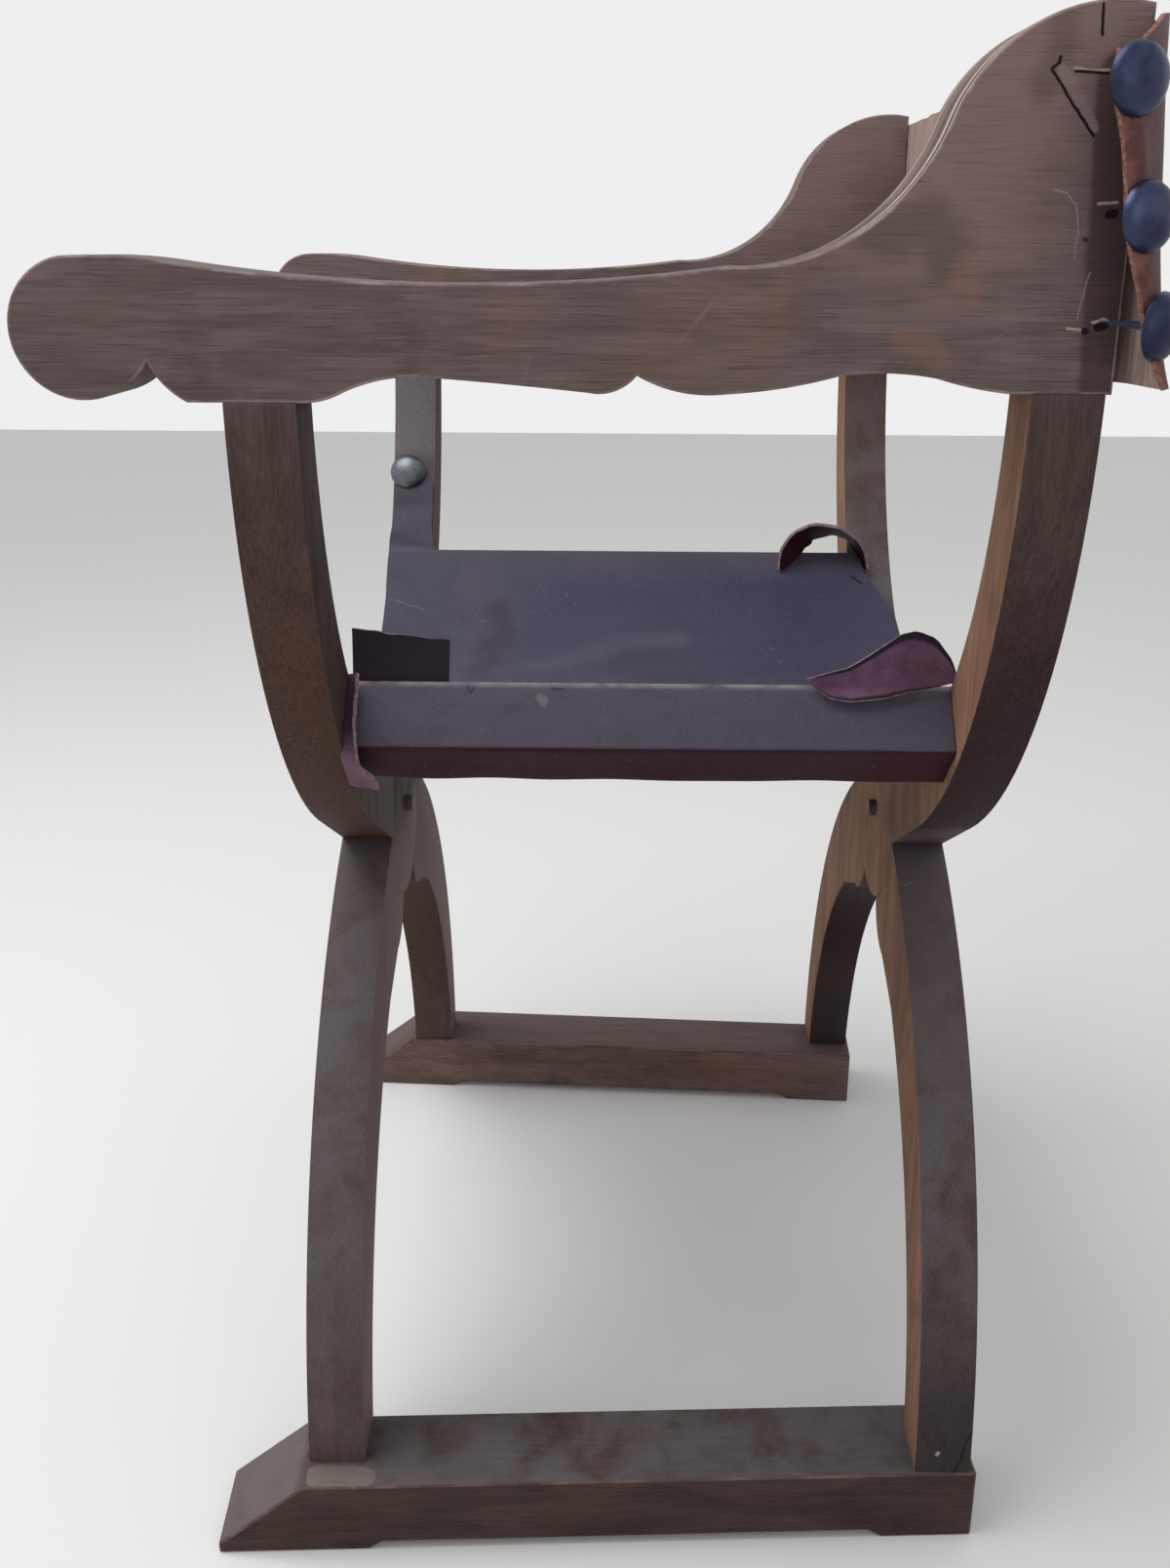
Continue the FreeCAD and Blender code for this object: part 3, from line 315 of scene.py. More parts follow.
class Recipe:
    """One node material. Each method adds a node and gives back its output socket."""

    def __init__(self, name, roughness=0.6, **constants):
        self.material = bpy.data.materials.new(name)
        self.material.use_nodes = True
        self.tree = self.material.node_tree
        self.tree.nodes.clear()
        self.shader = self.tree.nodes.new("ShaderNodeBsdfPrincipled")
        end = self.tree.nodes.new("ShaderNodeOutputMaterial")
        self.tree.links.new(self.shader.outputs[0], end.inputs[0])
        self.shader.inputs["Roughness"].default_value = roughness
        for socket, value in constants.items():
            self.shader.inputs[socket.replace("_", " ")].default_value = value
        self.where = self.add("ShaderNodeTexCoord").outputs["Object"]

    def add(self, kind, inputs=(), **settings):
        """A node with its settings, and its inputs linked or set in order."""
        node = self.tree.nodes.new(kind)
        for setting, value in settings.items():
            setattr(node, setting, value)
        for socket, value in dict(inputs).items():
            self.put(node.inputs[socket], value)
        return node

    def put(self, socket, value):
        """Link a socket to another, or set it."""
        if isinstance(value, bpy.types.NodeSocket):
            self.tree.links.new(value, socket)
        elif value is not None:
            socket.default_value = value

    def stretch(self, scale, move=(0, 0, 0), turn=(0, 0, 0)):
        """Coordinates scaled, turned and moved."""
        return self.add("ShaderNodeMapping", {0: self.where, 1: move, 2: turn, 3: scale}).outputs[0]

    def noise(self, scale, detail=3.0, rough=0.55, warp=0.0, squeeze=(1, 1, 1), move=(0, 0, 0)):
        """Cloudy noise between 0 and 1, on squeezed and moved coordinates."""
        return self.add("ShaderNodeTexNoise", {
            "Vector": self.stretch(squeeze, move), "Scale": scale, "Detail": detail, "Roughness": rough,
            "Distortion": warp}).outputs[0]

    def cells(self, scale, source=None, feature="DISTANCE_TO_EDGE"):
        """Distance to the edges of scattered cells, or to their middles."""
        place = source or self.where
        return self.add("ShaderNodeTexVoronoi", {"Vector": place, "Scale": scale},
                        feature=feature).outputs["Distance"]

    def sum(self, kind, first, *others, clamp=False):
        """Numbers joined one after the other by the named operation."""
        for other in others:
            node = self.add("ShaderNodeMath", {0: first, 1: other}, operation=kind, use_clamp=clamp)
            first = node.outputs[0]
        return first

    def times(self, *values):
        """The product of some numbers."""
        return self.sum("MULTIPLY", *values)

    def size(self, value):
        """A number without its sign."""
        return self.sum("ABSOLUTE", value, 0.0)

    def rise(self, value, low, high, top=1.0):
        """0 below low, top above high, smooth between; low may be the greater."""
        return self.add("ShaderNodeMapRange", {0: value, 1: low, 2: high, 3: 0.0, 4: top},
                        interpolation_type="SMOOTHSTEP").outputs[0]

    def between(self, value, low, high):
        """A value of about 0.3 to 0.7 spread out between low and high."""
        return self.add("ShaderNodeMapRange", {0: value, 1: 0.3, 2: 0.7, 3: low, 4: high}).outputs[0]

    def mix(self, amount, first, second):
        """Two colours mixed by amount."""
        node = self.add("ShaderNodeMix", data_type="RGBA")
        self.put(node.inputs[0], amount)
        for socket, value in ((node.inputs[6], first), (node.inputs[7], second)):
            self.put(socket, value if isinstance(value, bpy.types.NodeSocket) else (*value, 1.0))
        return node.outputs[2]

    def over(self, colour, *layers):
        """A colour with layers over it: a value, its rise's low, high and top if it has one, and a colour."""
        for value, *reach, look in layers:
            colour = self.mix(self.rise(value, *reach) if reach else value, colour, look)
        return colour

    def part(self, axis, source=None):
        """One coordinate of a place."""
        return self.add("ShaderNodeSeparateXYZ", {0: source or self.where}).outputs[axis]

    def facing(self, axis):
        """One coordinate of the way that the surface faces."""
        return self.part(axis, self.add("ShaderNodeTexCoord").outputs["Normal"])

    def attribute(self, name):
        """A number stored on the mesh."""
        return self.add("ShaderNodeAttribute", attribute_name=name).outputs["Fac"]

    def vector(self, kind, first, second, result=0):
        """Two places or ways joined by the named operation."""
        socket = "Scale" if kind == "SCALE" else 1
        return self.add("ShaderNodeVectorMath", {0: first, socket: second}, operation=kind).outputs[result]

    def near_line(self, source, *lines, above=False):
        """Distance in metres to the nearest of some lines through (along, up) points in millimetres, seen
        from the side, or through (across, along) points, seen from above."""
        flat = self.vector("MULTIPLY", source, (1, 1, 0) if above else (0, 1, 1))
        gaps = []
        for points in lines:
            if above:
                spots = [(across + MIDDLE_ACROSS, along + MIDDLE_ALONG, 0) for across, along in points]
            else:
                spots = [(0, along + MIDDLE_ALONG, up) for along, up in points]
            spots = [Vector(spot) * 0.001 for spot in spots]
            for begin, end in zip(spots, spots[1:]):
                run = end - begin
                away = self.vector("SUBTRACT", flat, begin)
                share = self.vector("DOT_PRODUCT", away, run / max(run.length_squared, 1e-12), "Value")
                foot = self.vector("SCALE", run, self.sum("ADD", share, 0.0, clamp=True))
                gaps.append(self.vector("DISTANCE", away, foot, "Value"))
        return self.sum("MINIMUM", *gaps)

    def shaken(self, amount, scale):
        """Places pushed about by noise, so that a line that is drawn with them wanders."""
        cloud = self.add("ShaderNodeTexNoise", {"Vector": self.where, "Scale": scale, "Detail": 2.0})
        shift = self.vector("SUBTRACT", cloud.outputs[1], (0.5, 0.5, 0.5))
        return self.vector("ADD", self.where, self.vector("SCALE", shift, amount))

    def dent(self, height, depth, under=None):
        """Raise or sink the surface by a height pattern, depth metres deep."""
        return self.add("ShaderNodeBump", {"Height": height, "Distance": depth, "Normal": under}).outputs[0]

    def done(self, colour, roughness=None, normal=None):
        """Link the colour, the roughness and the surface, and give back the material."""
        for name, value in (("Base Color", colour), ("Roughness", roughness), ("Normal", normal)):
            self.put(self.shader.inputs[name], value)
        return self.material


def tone(colour, factor):
    """A colour made lighter or darker."""
    return tuple(min(1.0, channel * factor) for channel in colour)


def tinted(colour, *factors):
    """A colour with each channel made lighter or darker by its own factor."""
    return tuple(channel * factor for channel, factor in zip(colour, factors))


def grain(recipe, along, base, warm, deep):
    """Wood grain: fibres and pores squeezed along one axis, over a broad figure and cloudy patches."""
    thin, broad = ([size if axis == along else 1.0 for axis in range(3)] for size in (0.022, 0.16))
    fibre = recipe.noise(760, 5, 0.62, 0.0, thin)
    band = recipe.noise(60, 4, 0.6, 0.9, broad, (0.3, 0.7, 0.1))
    pore = recipe.rise(recipe.noise(1350, 2, 0.5, 0.0, thin, (5, 3, 7)), 0.57, 0.7)
    cloud = recipe.noise(7, 4, 0.6, 0.6)
    patch = recipe.noise(16, 3, 0.55, 0.4, move=(2, 9, 4))
    colour = recipe.over(
        tone(base, 0.78), (band, 0.34, 0.68, tone(base, 1.16)), (cloud, 0.5, 0.74, 0.75, warm),
        (patch, 0.54, 0.74, 0.7, deep), (fibre, 0.42, 0.68, 0.26, tone(deep, 0.9)),
        (fibre, 0.46, 0.34, 0.2, tone(base, 1.7)), (recipe.times(pore, 0.16), tone(deep, 0.6)))
    return colour, recipe.sum("SUBTRACT", fibre, recipe.times(pore, 0.8)), fibre


def dusted(recipe, colour, dust, low, high, strength):
    """Dust that lies on faces turned upwards, thin and cloudy."""
    cloud = recipe.rise(recipe.noise(22, 5, 0.65, 0.5), 0.22, 0.62)
    return recipe.mix(recipe.times(recipe.rise(recipe.facing(2), low, high, strength), cloud), colour, dust)


def scratches(recipe, colour, light):
    """Fine pale scratches: the thin edges of large cells, broken up by noise."""
    edge = recipe.cells(26, recipe.stretch((1.0, 0.55, 1.3), turn=(0.5, 0.2, 0.4)))
    broken = recipe.rise(recipe.noise(31, 2), 0.54, 0.66, 0.3)
    return recipe.mix(recipe.times(recipe.rise(edge, 0.006, 0.0015), broken), colour, light)


def sun_faded(recipe, colour, spots, base):
    """Paler, warmer wood round a line of (along, up) spots."""
    near = recipe.near_line(recipe.shaken(0.09, 9), spots)
    return recipe.over(colour, (near, 0.1, 0.01, 0.85, tinted(base, 1.5, 1.42, 1.34)))


def walnut(name, along, base, dust_reach, dust_strength, colours, under=None, faded=None, marks=None):
    """Stained walnut with worn patches, dust and scratches, darker on downward faces as unworn stain and
    painted shade, and faded round a line.
    """
    recipe = Recipe(name, 0.55, Specular_IOR_Level=0.14)
    colour, height, fibre = grain(recipe, along, base, tinted(base, 1.3, 1.1, 0.86), tone(base, 0.52))
    if faded:
        colour = sun_faded(recipe, colour, faded, base)
    # Faces turned downwards take the under colour: partly unworn stain, partly painted shade.
    if under:
        turned = recipe.sum("ADD", recipe.facing(2), recipe.times(recipe.noise(9, 4), 0.3))
        streak = recipe.mix(recipe.rise(fibre, 0.3, 0.7), tone(under, 1.25), tone(under, 0.7))
        colour = recipe.over(colour, (turned, 0.1, -0.45, 0.9, streak))
    colour = dusted(recipe, colour, colours.dust, *dust_reach, dust_strength)
    colour = scratches(recipe, colour, tone(base, 2.0))
    if marks:
        colour = marks(recipe, colour)
    return recipe.done(colour, recipe.between(fibre, 0.58, 0.8), recipe.dent(height, 0.0003))


def raw_walnut(name, along, colours):
    """Unstained wood with run-over stain and grime."""
    recipe = Recipe(name, 0.8, Specular_IOR_Level=0.1)
    base = colours.raw_wood
    colour, height, _ = grain(recipe, along, base, tinted(base, 1.22, 1.15, 1.0), tone(base, 0.5))
    run_over = recipe.rise(recipe.noise(11, 5, 0.62, 0.8, (1, 1, 0.45), (4, 1, 8)), 0.5, 0.72)
    colour = recipe.mix(recipe.times(run_over, 0.6), colour, colours.leg_wood)
    return recipe.done(colour, None, recipe.dent(height, 0.0004))


def worn_edge(name, along, base):
    """Rubbed arris: the wood shows paler in short runs."""
    recipe = Recipe(name, 0.6, Specular_IOR_Level=0.15)
    colour, height, _ = grain(recipe, along, base, tone(base, 1.3), tone(base, 0.6))
    colour = recipe.over(colour, (recipe.noise(24, 4, 0.7), 0.4, 0.62, 0.6, tone(base, 2.6)))
    return recipe.done(colour, None, recipe.dent(height, 0.0002))


def wing_wood(colours):
    """The left arm's wood: the walnut of the arms with the marks of its wing's drawn nails and splits."""
    recipe = Recipe("left_arm_walnut", 0.55, Specular_IOR_Level=0.14)
    base = colours.arm_wood
    colour, height, fibre = grain(recipe, 1, base, tinted(base, 1.32, 1.1, 0.86), tone(base, 0.52))
    colour = dusted(recipe, colour, colours.dust, 0.3, 0.95, 0.8)
    colour = scratches(recipe, colour, tone(base, 2.0))
    colour = sun_faded(recipe, colour, [(345, 815), (358, 838), (385, 858), (400, 875)], base)
    # Darker stain round the wing's middle, and two warm rubbed spots beside it.
    loose = recipe.shaken(0.03, 22)
    stain = recipe.near_line(loose, [(308, 790), (326, 794), (338, 780)])
    rubbed = recipe.near_line(loose, [(347, 775), (354, 764)], [(326, 741), (340, 738)])
    colour = recipe.over(colour, (stain, 0.018, 0.003, 0.5, tone(base, 0.52)),
                         (rubbed, 0.011, 0.002, 0.4, (0.24, 0.125, 0.085)))
    # Painted highlights on the ridges beside the groove on the wing's rising edge, and painted shade in the
    # groove and its shallow recess.
    rising = recipe.times(recipe.rise(recipe.part(1), 0.115, 0.135),
                          recipe.rise(recipe.size(recipe.facing(0)), 0.75, 0.5),
                          recipe.rise(recipe.facing(1), -0.1, -0.3))
    for inward, size, look in ((28, 0.0095, tone(base, 0.6)), (6.5, 0.0022, tone(base, 0.3)),
                               (2.2, 0.0018, (0.5, 0.45, 0.41)), (12.5, 0.0028, (0.5, 0.45, 0.41)),
                               (43, 0.0018, (0.4, 0.35, 0.31))):
        line = recipe.sum("SUBTRACT", recipe.part(0), (OUTSIDE - inward + MIDDLE_ACROSS) * 0.001)
        line = recipe.rise(recipe.size(line), size, size * 0.7, 0.8)
        colour = recipe.mix(recipe.times(line, rising), colour, look)
    outer = recipe.rise(recipe.facing(0), 0.5, 0.8)
    wander = recipe.shaken(0.004, 60)
    fine = recipe.shaken(0.0012, 240)
    # The strip that the leather kept dark, from the top nail down to the rear leg.
    strip = recipe.rise(recipe.near_line(wander, [(415, 852), (421, 722)]), 0.0165, 0.0125)
    smear = recipe.near_line(wander, [(383, 884), (383.5, 866), (377, 850)])
    # A long splinter lifted beside its crack, and three raised tongues round the drawn nails.
    sliver = recipe.near_line(fine, [(385, 856.5), (391.5, 848.5), (401, 833)])
    pale = recipe.near_line(fine, [(390, 857.7), (396, 856.6), (405, 857)], [(398.5, 747), (405, 746.4)],
                            [(406.6, 801.6), (415.2, 802.3)], [(410, 749.8), (415, 751.4), (419, 749.5)])
    splits = [recipe.near_line(
        fine, [(399.5, 885), (400.5, 871)], [(379.7, 856.9), (384, 852), (390.3, 843.4), (401.5, 830)],
        [(390.5, 856.3), (405, 855.6)], [(380, 857.5), (383, 859.6), (383.2, 862)])]
    for line, size in (([(412.3, 797), (414.6, 797.4)], 0.0013), ([(406.6, 746), (407.4, 746)], 0.0008),
                       ([(412.5, 748), (415.5, 748.6)], 0.0012)):
        splits.append(recipe.sum("SUBTRACT", recipe.near_line(fine, line), size))
    gap = recipe.times(recipe.rise(recipe.sum("MINIMUM", *splits), 0.0008, 0.0002), outer)
    knot = recipe.near_line(fine, [(402.3, 786.2), (403, 786)])
    scuffs = recipe.near_line(wander, [(386.4, 807), (392, 806), (396.3, 801), (398.5, 790), (398.9, 778)],
                              [(406.3, 772), (402, 751)])
    colour = recipe.over(
        colour, (recipe.times(strip, outer, 0.8), (0.052, 0.03, 0.034)),
        (smear, 0.011, 0.002, 0.35, tone(base, 0.42)), (sliver, 0.003, 0.0018, 0.9, tone(base, 1.6)),
        (pale, 0.0009, 0.0004, (0.36, 0.27, 0.21)), (gap, CRACK),
        (knot, 0.0016, 0.0006, 0.8, (0.03, 0.018, 0.018)), (scuffs, 0.0006, 0.0002, 0.6, tone(base, 2.2)))
    deep = recipe.dent(recipe.times(gap, -1.0), 0.0025, recipe.dent(height, 0.0003))
    return recipe.done(colour, recipe.between(fibre, 0.55, 0.78), deep)


def rear_leg_marks(recipe, colour):
    """Paler under the knuckle and darker at the foot, with a crack, a pale peg and fine cobweb scratches."""
    fine = recipe.shaken(0.0015, 200)
    level = recipe.sum("ADD", recipe.part(2), recipe.times(recipe.noise(14, 3), 0.05))
    under = recipe.times(recipe.rise(level, 0.25, 0.37), recipe.rise(level, 0.46, 0.43), 0.55)
    near = recipe.rise(recipe.part(0), 0.2, 0.22)
    crack = recipe.near_line(fine, [(421.5, 84), (416, 72), (414, 60), (409, 49)])
    peg = recipe.near_line(fine, [(398.5, 63.2), (399, 64.2)])
    web = recipe.near_line(fine, [(380, 380), (387.6, 372.6), (394, 374)],
                           [(366, 330), (369.5, 321.8), (375, 316)])
    return recipe.over(
        colour, (under, (0.12, 0.09, 0.1)), (level, 0.21, 0.11, 0.75, (0.03, 0.022, 0.026)),
        (recipe.times(recipe.rise(crack, 0.0008, 0.0002), near), CRACK),
        (recipe.times(recipe.rise(peg, 0.0018, 0.0008), near), (0.3, 0.26, 0.22)),
        (web, 0.0006, 0.0002, 0.6, (0.2, 0.19, 0.19)))


def front_leg_marks(recipe, colour):
    """Pale dust and painted light high on the right front leg's inner curve."""
    lit = recipe.times(recipe.rise(recipe.part(2), 0.6, 0.625), recipe.rise(recipe.facing(0), 0.2, 0.5, 0.75),
                       recipe.rise(recipe.part(0), -0.2, -0.23))
    return recipe.mix(lit, colour, (0.165, 0.145, 0.162))


def inner_leg_marks(recipe, colour):
    """The front legs' inner faces are paler under the knuckle."""
    return recipe.over(colour, (recipe.part(2), 0.4, 0.37, 0.85, (0.16, 0.112, 0.104)))


def near_rail_marks(recipe, colour):
    """The pale bare patch on the left foot rail's top before the leg's foot, and its dusty toe."""
    toe = recipe.times(recipe.rise(recipe.part(1), -0.171, -0.176),
                       recipe.rise(recipe.facing(2), 0.3, 0.5, 0.48))
    patch = recipe.near_line(recipe.shaken(0.003, 90), [(307, 8), (308, 34)], above=True)
    patch = recipe.times(recipe.rise(patch, 0.0105, 0.0085), recipe.rise(recipe.facing(2), 0.6, 0.9), 0.7)
    return recipe.over(colour, (toe, (0.2, 0.165, 0.163)), (patch, (0.2, 0.165, 0.145)))


def seat_grain(colours):
    """Faded seat leather: purple-grey where light and dust reach it, maroon on faces turned sideways and
    down, a maroon that holds painted shade.
    """
    recipe = Recipe("seat_grain_side", 0.6, Specular_IOR_Level=0.2)
    base = colours.seat
    cloud = recipe.noise(9, 5, 0.6, 0.7)
    patch = recipe.noise(15, 4, 0.62, 1.0, move=(3, 5, 1))
    pale = tinted(base, 1.3, 1.28, 1.08)
    # The sling is darker and bluer towards the rear, as painted shade, and the ear is darker than the sling's
    # front.
    outside = recipe.size(recipe.sum("SUBTRACT", recipe.part(0), MIDDLE_ACROSS * 0.001))
    back = recipe.sum("ADD", recipe.part(1), recipe.times(cloud, 0.08))
    slung = recipe.rise(outside, 0.2, 0.165)
    ear = recipe.times(recipe.rise(recipe.part(0), -0.2, -0.225),
                       recipe.rise(recipe.part(2), 0.54, 0.55, 0.85))
    wavy = recipe.times(recipe.sum("SUBTRACT", cloud, 0.5), 0.35)
    turned = recipe.sum("ADD", recipe.facing(2), wavy)
    top = recipe.times(recipe.rise(outside, 0.203, 0.209), recipe.rise(turned, 0.3, 0.6))
    mottle = recipe.rise(recipe.noise(55, 5, 0.65, 0.6), 0.46, 0.66, 0.4)
    speck = recipe.rise(recipe.noise(900, 2, 0.6), 0.56, 0.7, 0.5)
    # Faces turned away from up take the maroon, which is darkened as painted shade.
    colour = recipe.over(
        tone(base, 0.84), (cloud, 0.3, 0.72, pale), (patch, 0.6, 0.74, 0.5, (0.05, 0.026, 0.044)),
        (recipe.times(recipe.rise(back, -0.06, 0.02, 0.85), slung), (0.041, 0.035, 0.071)),
        (recipe.times(recipe.rise(back, 0.05, 0.16, 0.5), slung), (0.026, 0.023, 0.05)),
        (ear, tone(base, 0.45)), (turned, 0.42, 0.02, colours.seat_maroon_and_shade), (recipe.times(top, 0.8), pale),
        (recipe.times(mottle, top), (0.046, 0.042, 0.05)),
        (recipe.times(speck, recipe.rise(turned, 0.2, 0.5)), tone(base, 2.1)),
        (recipe.noise(210, 3, 0.7), 0.6, 0.72, 0.3, tone(base, 1.8)))
    colour = seat_marks(recipe, colour, base)
    # A pale line along the left ridge: partly wear, partly painted highlight.
    rubbed = recipe.rise(recipe.noise(46, 4, 0.6), 0.25, 0.6, 0.85)
    colour = recipe.over(colour, (recipe.times(recipe.attribute("worn"), rubbed), (0.3, 0.28, 0.27)))
    crease = recipe.rise(recipe.cells(95, recipe.shaken(0.01, 40)), 0.0, 0.1)
    height = recipe.sum("ADD", recipe.times(recipe.cells(620, None, "F1"), 0.35), recipe.times(crease, 0.18))
    return recipe.done(colour, recipe.between(cloud, 0.5, 0.72), recipe.dent(height, 0.0003))


def seat_marks(recipe, colour, base):
    """The sling's stain, lighter band, scuffs and slits, and the nicks on the left wrap's top."""
    wander = recipe.shaken(0.012, 45)
    fine = recipe.shaken(0.002, 160)
    stain = recipe.near_line(recipe.shaken(0.05, 24), [(-133, 92), (-97, 98), (-30, 92)], above=True)
    band = recipe.near_line(wander, [(-47, 133), (-70, 167), (-91, 197), (-98, 240)], above=True)
    shade = recipe.near_line(wander, [(-60, 215), (-30, 230), (40, 240)], above=True)
    pale = recipe.near_line(
        fine, [(-150, 5), (-149, 12), (-141, 24), (-136, 36)], [(-123, 84), (-121, 87)],
        [(-139, 80), (-138, 81)], [(-84, 311), (-82, 313)], [(-64, 315), (-62, 318)],
        [(-160, 150), (-155, 152)], [(-146, 158), (-145, 158)], above=True)
    left = recipe.rise(recipe.part(0), 0.19, 0.195)
    spot = recipe.near_line(recipe.shaken(0.005, 150), [(146.5, 535), (149, 533.5)])
    cut = recipe.near_line(fine, [(103.4, 540.4), (106, 537), (107.2, 539.6)],
                           [(153, 539.6), (157, 538.9), (160, 539.8)])
    slit = recipe.near_line(fine, [(-181, 386), (-174, 393)], [(-187, 397), (-182, 403)], above=True)
    slit = recipe.sum("MAXIMUM", recipe.times(recipe.rise(cut, 0.0011, 0.0002, 0.8), left, 0.75),
                      recipe.rise(slit, 0.0016, 0.0008))
    return recipe.over(
        colour, (stain, 0.022, 0.002, 0.6, (0.034, 0.026, 0.034)),
        (band, 0.02, 0.003, 0.45, (0.082, 0.072, 0.096)), (shade, 0.05, 0.01, 0.45, tone(base, 0.55)),
        (pale, 0.0009, 0.0002, 0.5, (0.17, 0.15, 0.2)),
        (recipe.times(recipe.rise(spot, 0.0034, 0.001, 0.6), left), (0.17, 0.16, 0.15)),
        (slit, (0.006, 0.003, 0.006)))


def suede(name, base, rim, fleck):
    """Flesh side of a hide: short nap with pale flecks, darkened by painted shade where rim says so."""
    recipe = Recipe(name, 0.95, Specular_IOR_Level=0.05, Sheen_Weight=0.08, Sheen_Roughness=0.6)
    nap = recipe.noise(1100, 3, 0.7)
    colour = recipe.over(
        tone(base, 0.66), (recipe.noise(34, 4, 0.6), 0.35, 0.7, tone(base, 1.2)),
        (nap, 0.55, 0.72, 0.5, fleck), (nap, 0.45, 0.3, 0.5, tone(base, 0.45)),
        (recipe.attribute("rim"), 0.2, 0.8, rim))
    return recipe.done(colour, None, recipe.dent(nap, 0.0006))


def cut_edge(name, base):
    """Torn edge of a hide: pale fibres with darker breaks."""
    recipe = Recipe(name, 0.9, Specular_IOR_Level=0.2)
    fibre = recipe.noise(420, 4, 0.7)
    colour = recipe.over(tone(base, 0.45), (fibre, 0.4, 0.62, base))
    return recipe.done(colour, None, recipe.dent(fibre, 0.0006))


def back_grain(colours):
    """Outside of the back leather: red-brown, rubbed paler, cracked and creased up and down."""
    recipe = Recipe("back_grain_side", 0.6, Specular_IOR_Level=0.2)
    base = colours.back
    blotch = recipe.rise(recipe.noise(70, 4, 0.6), 0.36, 0.64)
    rust = recipe.mix(blotch, (0.085, 0.03, 0.028), (0.21, 0.085, 0.066))
    colour = recipe.over(
        tone(base, 0.7), (recipe.noise(14, 5, 0.6, 0.6), 0.34, 0.7, tinted(base, 1.25, 1.4, 1.45)),
        (recipe.noise(120, 4, 0.6, 0.0, (1, 1, 0.12)), 0.55, 0.75, 0.4, tone(base, 0.5)),
        (recipe.attribute("rim"), 0.35, 0.9, 0.9, rust))
    crack = recipe.rise(recipe.cells(150, recipe.stretch((1, 1, 0.3))), 0.0, 0.08)
    height = recipe.sum("ADD", recipe.times(recipe.cells(520, None, "F1"), 0.3), recipe.times(crack, 0.35))
    return recipe.done(colour, None, recipe.dent(height, 0.0004))


def back_flesh(colours):
    """Flesh side of the back leather: tan, streaked up and down."""
    recipe = Recipe("back_flesh_side", 0.9, Specular_IOR_Level=0.08)
    base = colours.flesh
    streak = recipe.noise(300, 4, 0.65, 0.2, (1, 1, 0.07))
    colour = recipe.over(tone(base, 0.68), (streak, 0.38, 0.62, tone(base, 1.04)),
                         (recipe.noise(18, 4, 0.6), 0.5, 0.75, 0.35, (0.2, 0.12, 0.095)))
    return recipe.done(colour, None, recipe.dent(streak, 0.0006))


def nail_iron(name, base):
    """Domed nail iron: dark blue-grey, softly pitted, with dull brown spots."""
    recipe = Recipe(name, 0.4, Metallic=0.85)
    cloud = recipe.noise(48, 4, 0.55, 0.3)
    colour = recipe.over(tone(base, 0.66), (cloud, 0.34, 0.7, tinted(base, 1.5, 1.5, 1.4)),
                         (recipe.noise(300, 3, 0.6), 0.66, 0.78, 0.5, (0.05, 0.04, 0.032)))
    pits = recipe.dent(recipe.noise(150, 3, 0.5), 0.00025)
    return recipe.done(colour, recipe.between(cloud, 0.44, 0.32), pits)


def dull_iron():
    """Pins, tacks and shanks: dull iron with brown rust."""
    recipe = Recipe("dull_iron", 0.6, Metallic=0.6)
    rust = recipe.noise(300, 5, 0.65, 0.3)
    colour = recipe.over((0.085, 0.08, 0.078), (rust, 0.42, 0.66, (0.085, 0.045, 0.028)))
    return recipe.done(colour, recipe.between(rust, 0.45, 0.8), recipe.dent(rust, 0.0004))


MATERIALS = {}


def finishes():
    """All of the chair's materials, made once."""
    if not MATERIALS:
        colours = bpy.context.scene.chair_colours
        arm_wood, leg_wood = colours.arm_wood, colours.leg_wood
        # Colours for the legs' downward faces: darker stain with painted shade in them.
        warm_under_shade = (0.062, 0.031, 0.021)
        red_under_shade = (0.026, 0.011, 0.014)
        wing_middle = [(330, 830), (370, 862)]
        MATERIALS.update({
            "arm": walnut("arm_walnut", 1, arm_wood, (0.3, 0.95), 0.8, colours, faded=wing_middle),
            "wing": wing_wood(colours),
            "arm_edge": worn_edge("arm_worn_arris", 1, arm_wood),
            "front_leg": walnut("front_leg_walnut", 2, leg_wood, (-0.15, 0.5), 0.9, colours, warm_under_shade,
                                marks=front_leg_marks),
            "rear_leg": walnut("rear_leg_walnut", 2, tone(leg_wood, 0.85), (-0.1, 0.6), 0.85, colours,
                               red_under_shade, marks=rear_leg_marks),
            # The front legs' inner faces: a darker walnut as painted shade.
            "shade_leg": walnut("front_leg_inner_painted_shade_walnut", 2, tone(leg_wood, 0.62), (0.2, 0.7), 0.8, colours,
                                marks=inner_leg_marks),
            "leg_raw": raw_walnut("leg_raw_walnut", 2, colours),
            "leg_edge": worn_edge("leg_worn_arris", 2, leg_wood),
            "near_rail": walnut("left_rail_walnut", 1, tone(leg_wood, 0.68), (0.2, 0.9), 0.95, colours,
                                marks=near_rail_marks),
            "far_rail": walnut("right_rail_walnut", 1, tone(leg_wood, 1.6), (0.2, 0.9), 0.5, colours),
            "rail_edge": worn_edge("rail_worn_arris", 1, leg_wood),
            "tenon": raw_walnut("tenon_wood", 1, colours),
            "seat": seat_grain(colours),
            # The suede's dark rim colour is painted shade on the seat's loose leaves.
            "suede": suede("seat_flesh_side", colours.suede, (0.019, 0.0135, 0.02), (0.3, 0.2, 0.25)),
            "seat_edge": cut_edge("seat_cut_edge", (0.27, 0.2, 0.22)),
            "back": back_grain(colours),
            "flesh": back_flesh(colours),
            "back_edge": cut_edge("back_cut_edge", (0.3, 0.14, 0.11)),
            "nail": nail_iron("back_nail_iron", colours.iron),
            "ear_nail": nail_iron("ear_nail_iron", (0.095, 0.1, 0.118)),
            "iron": dull_iron(),
        })
    return MATERIALS


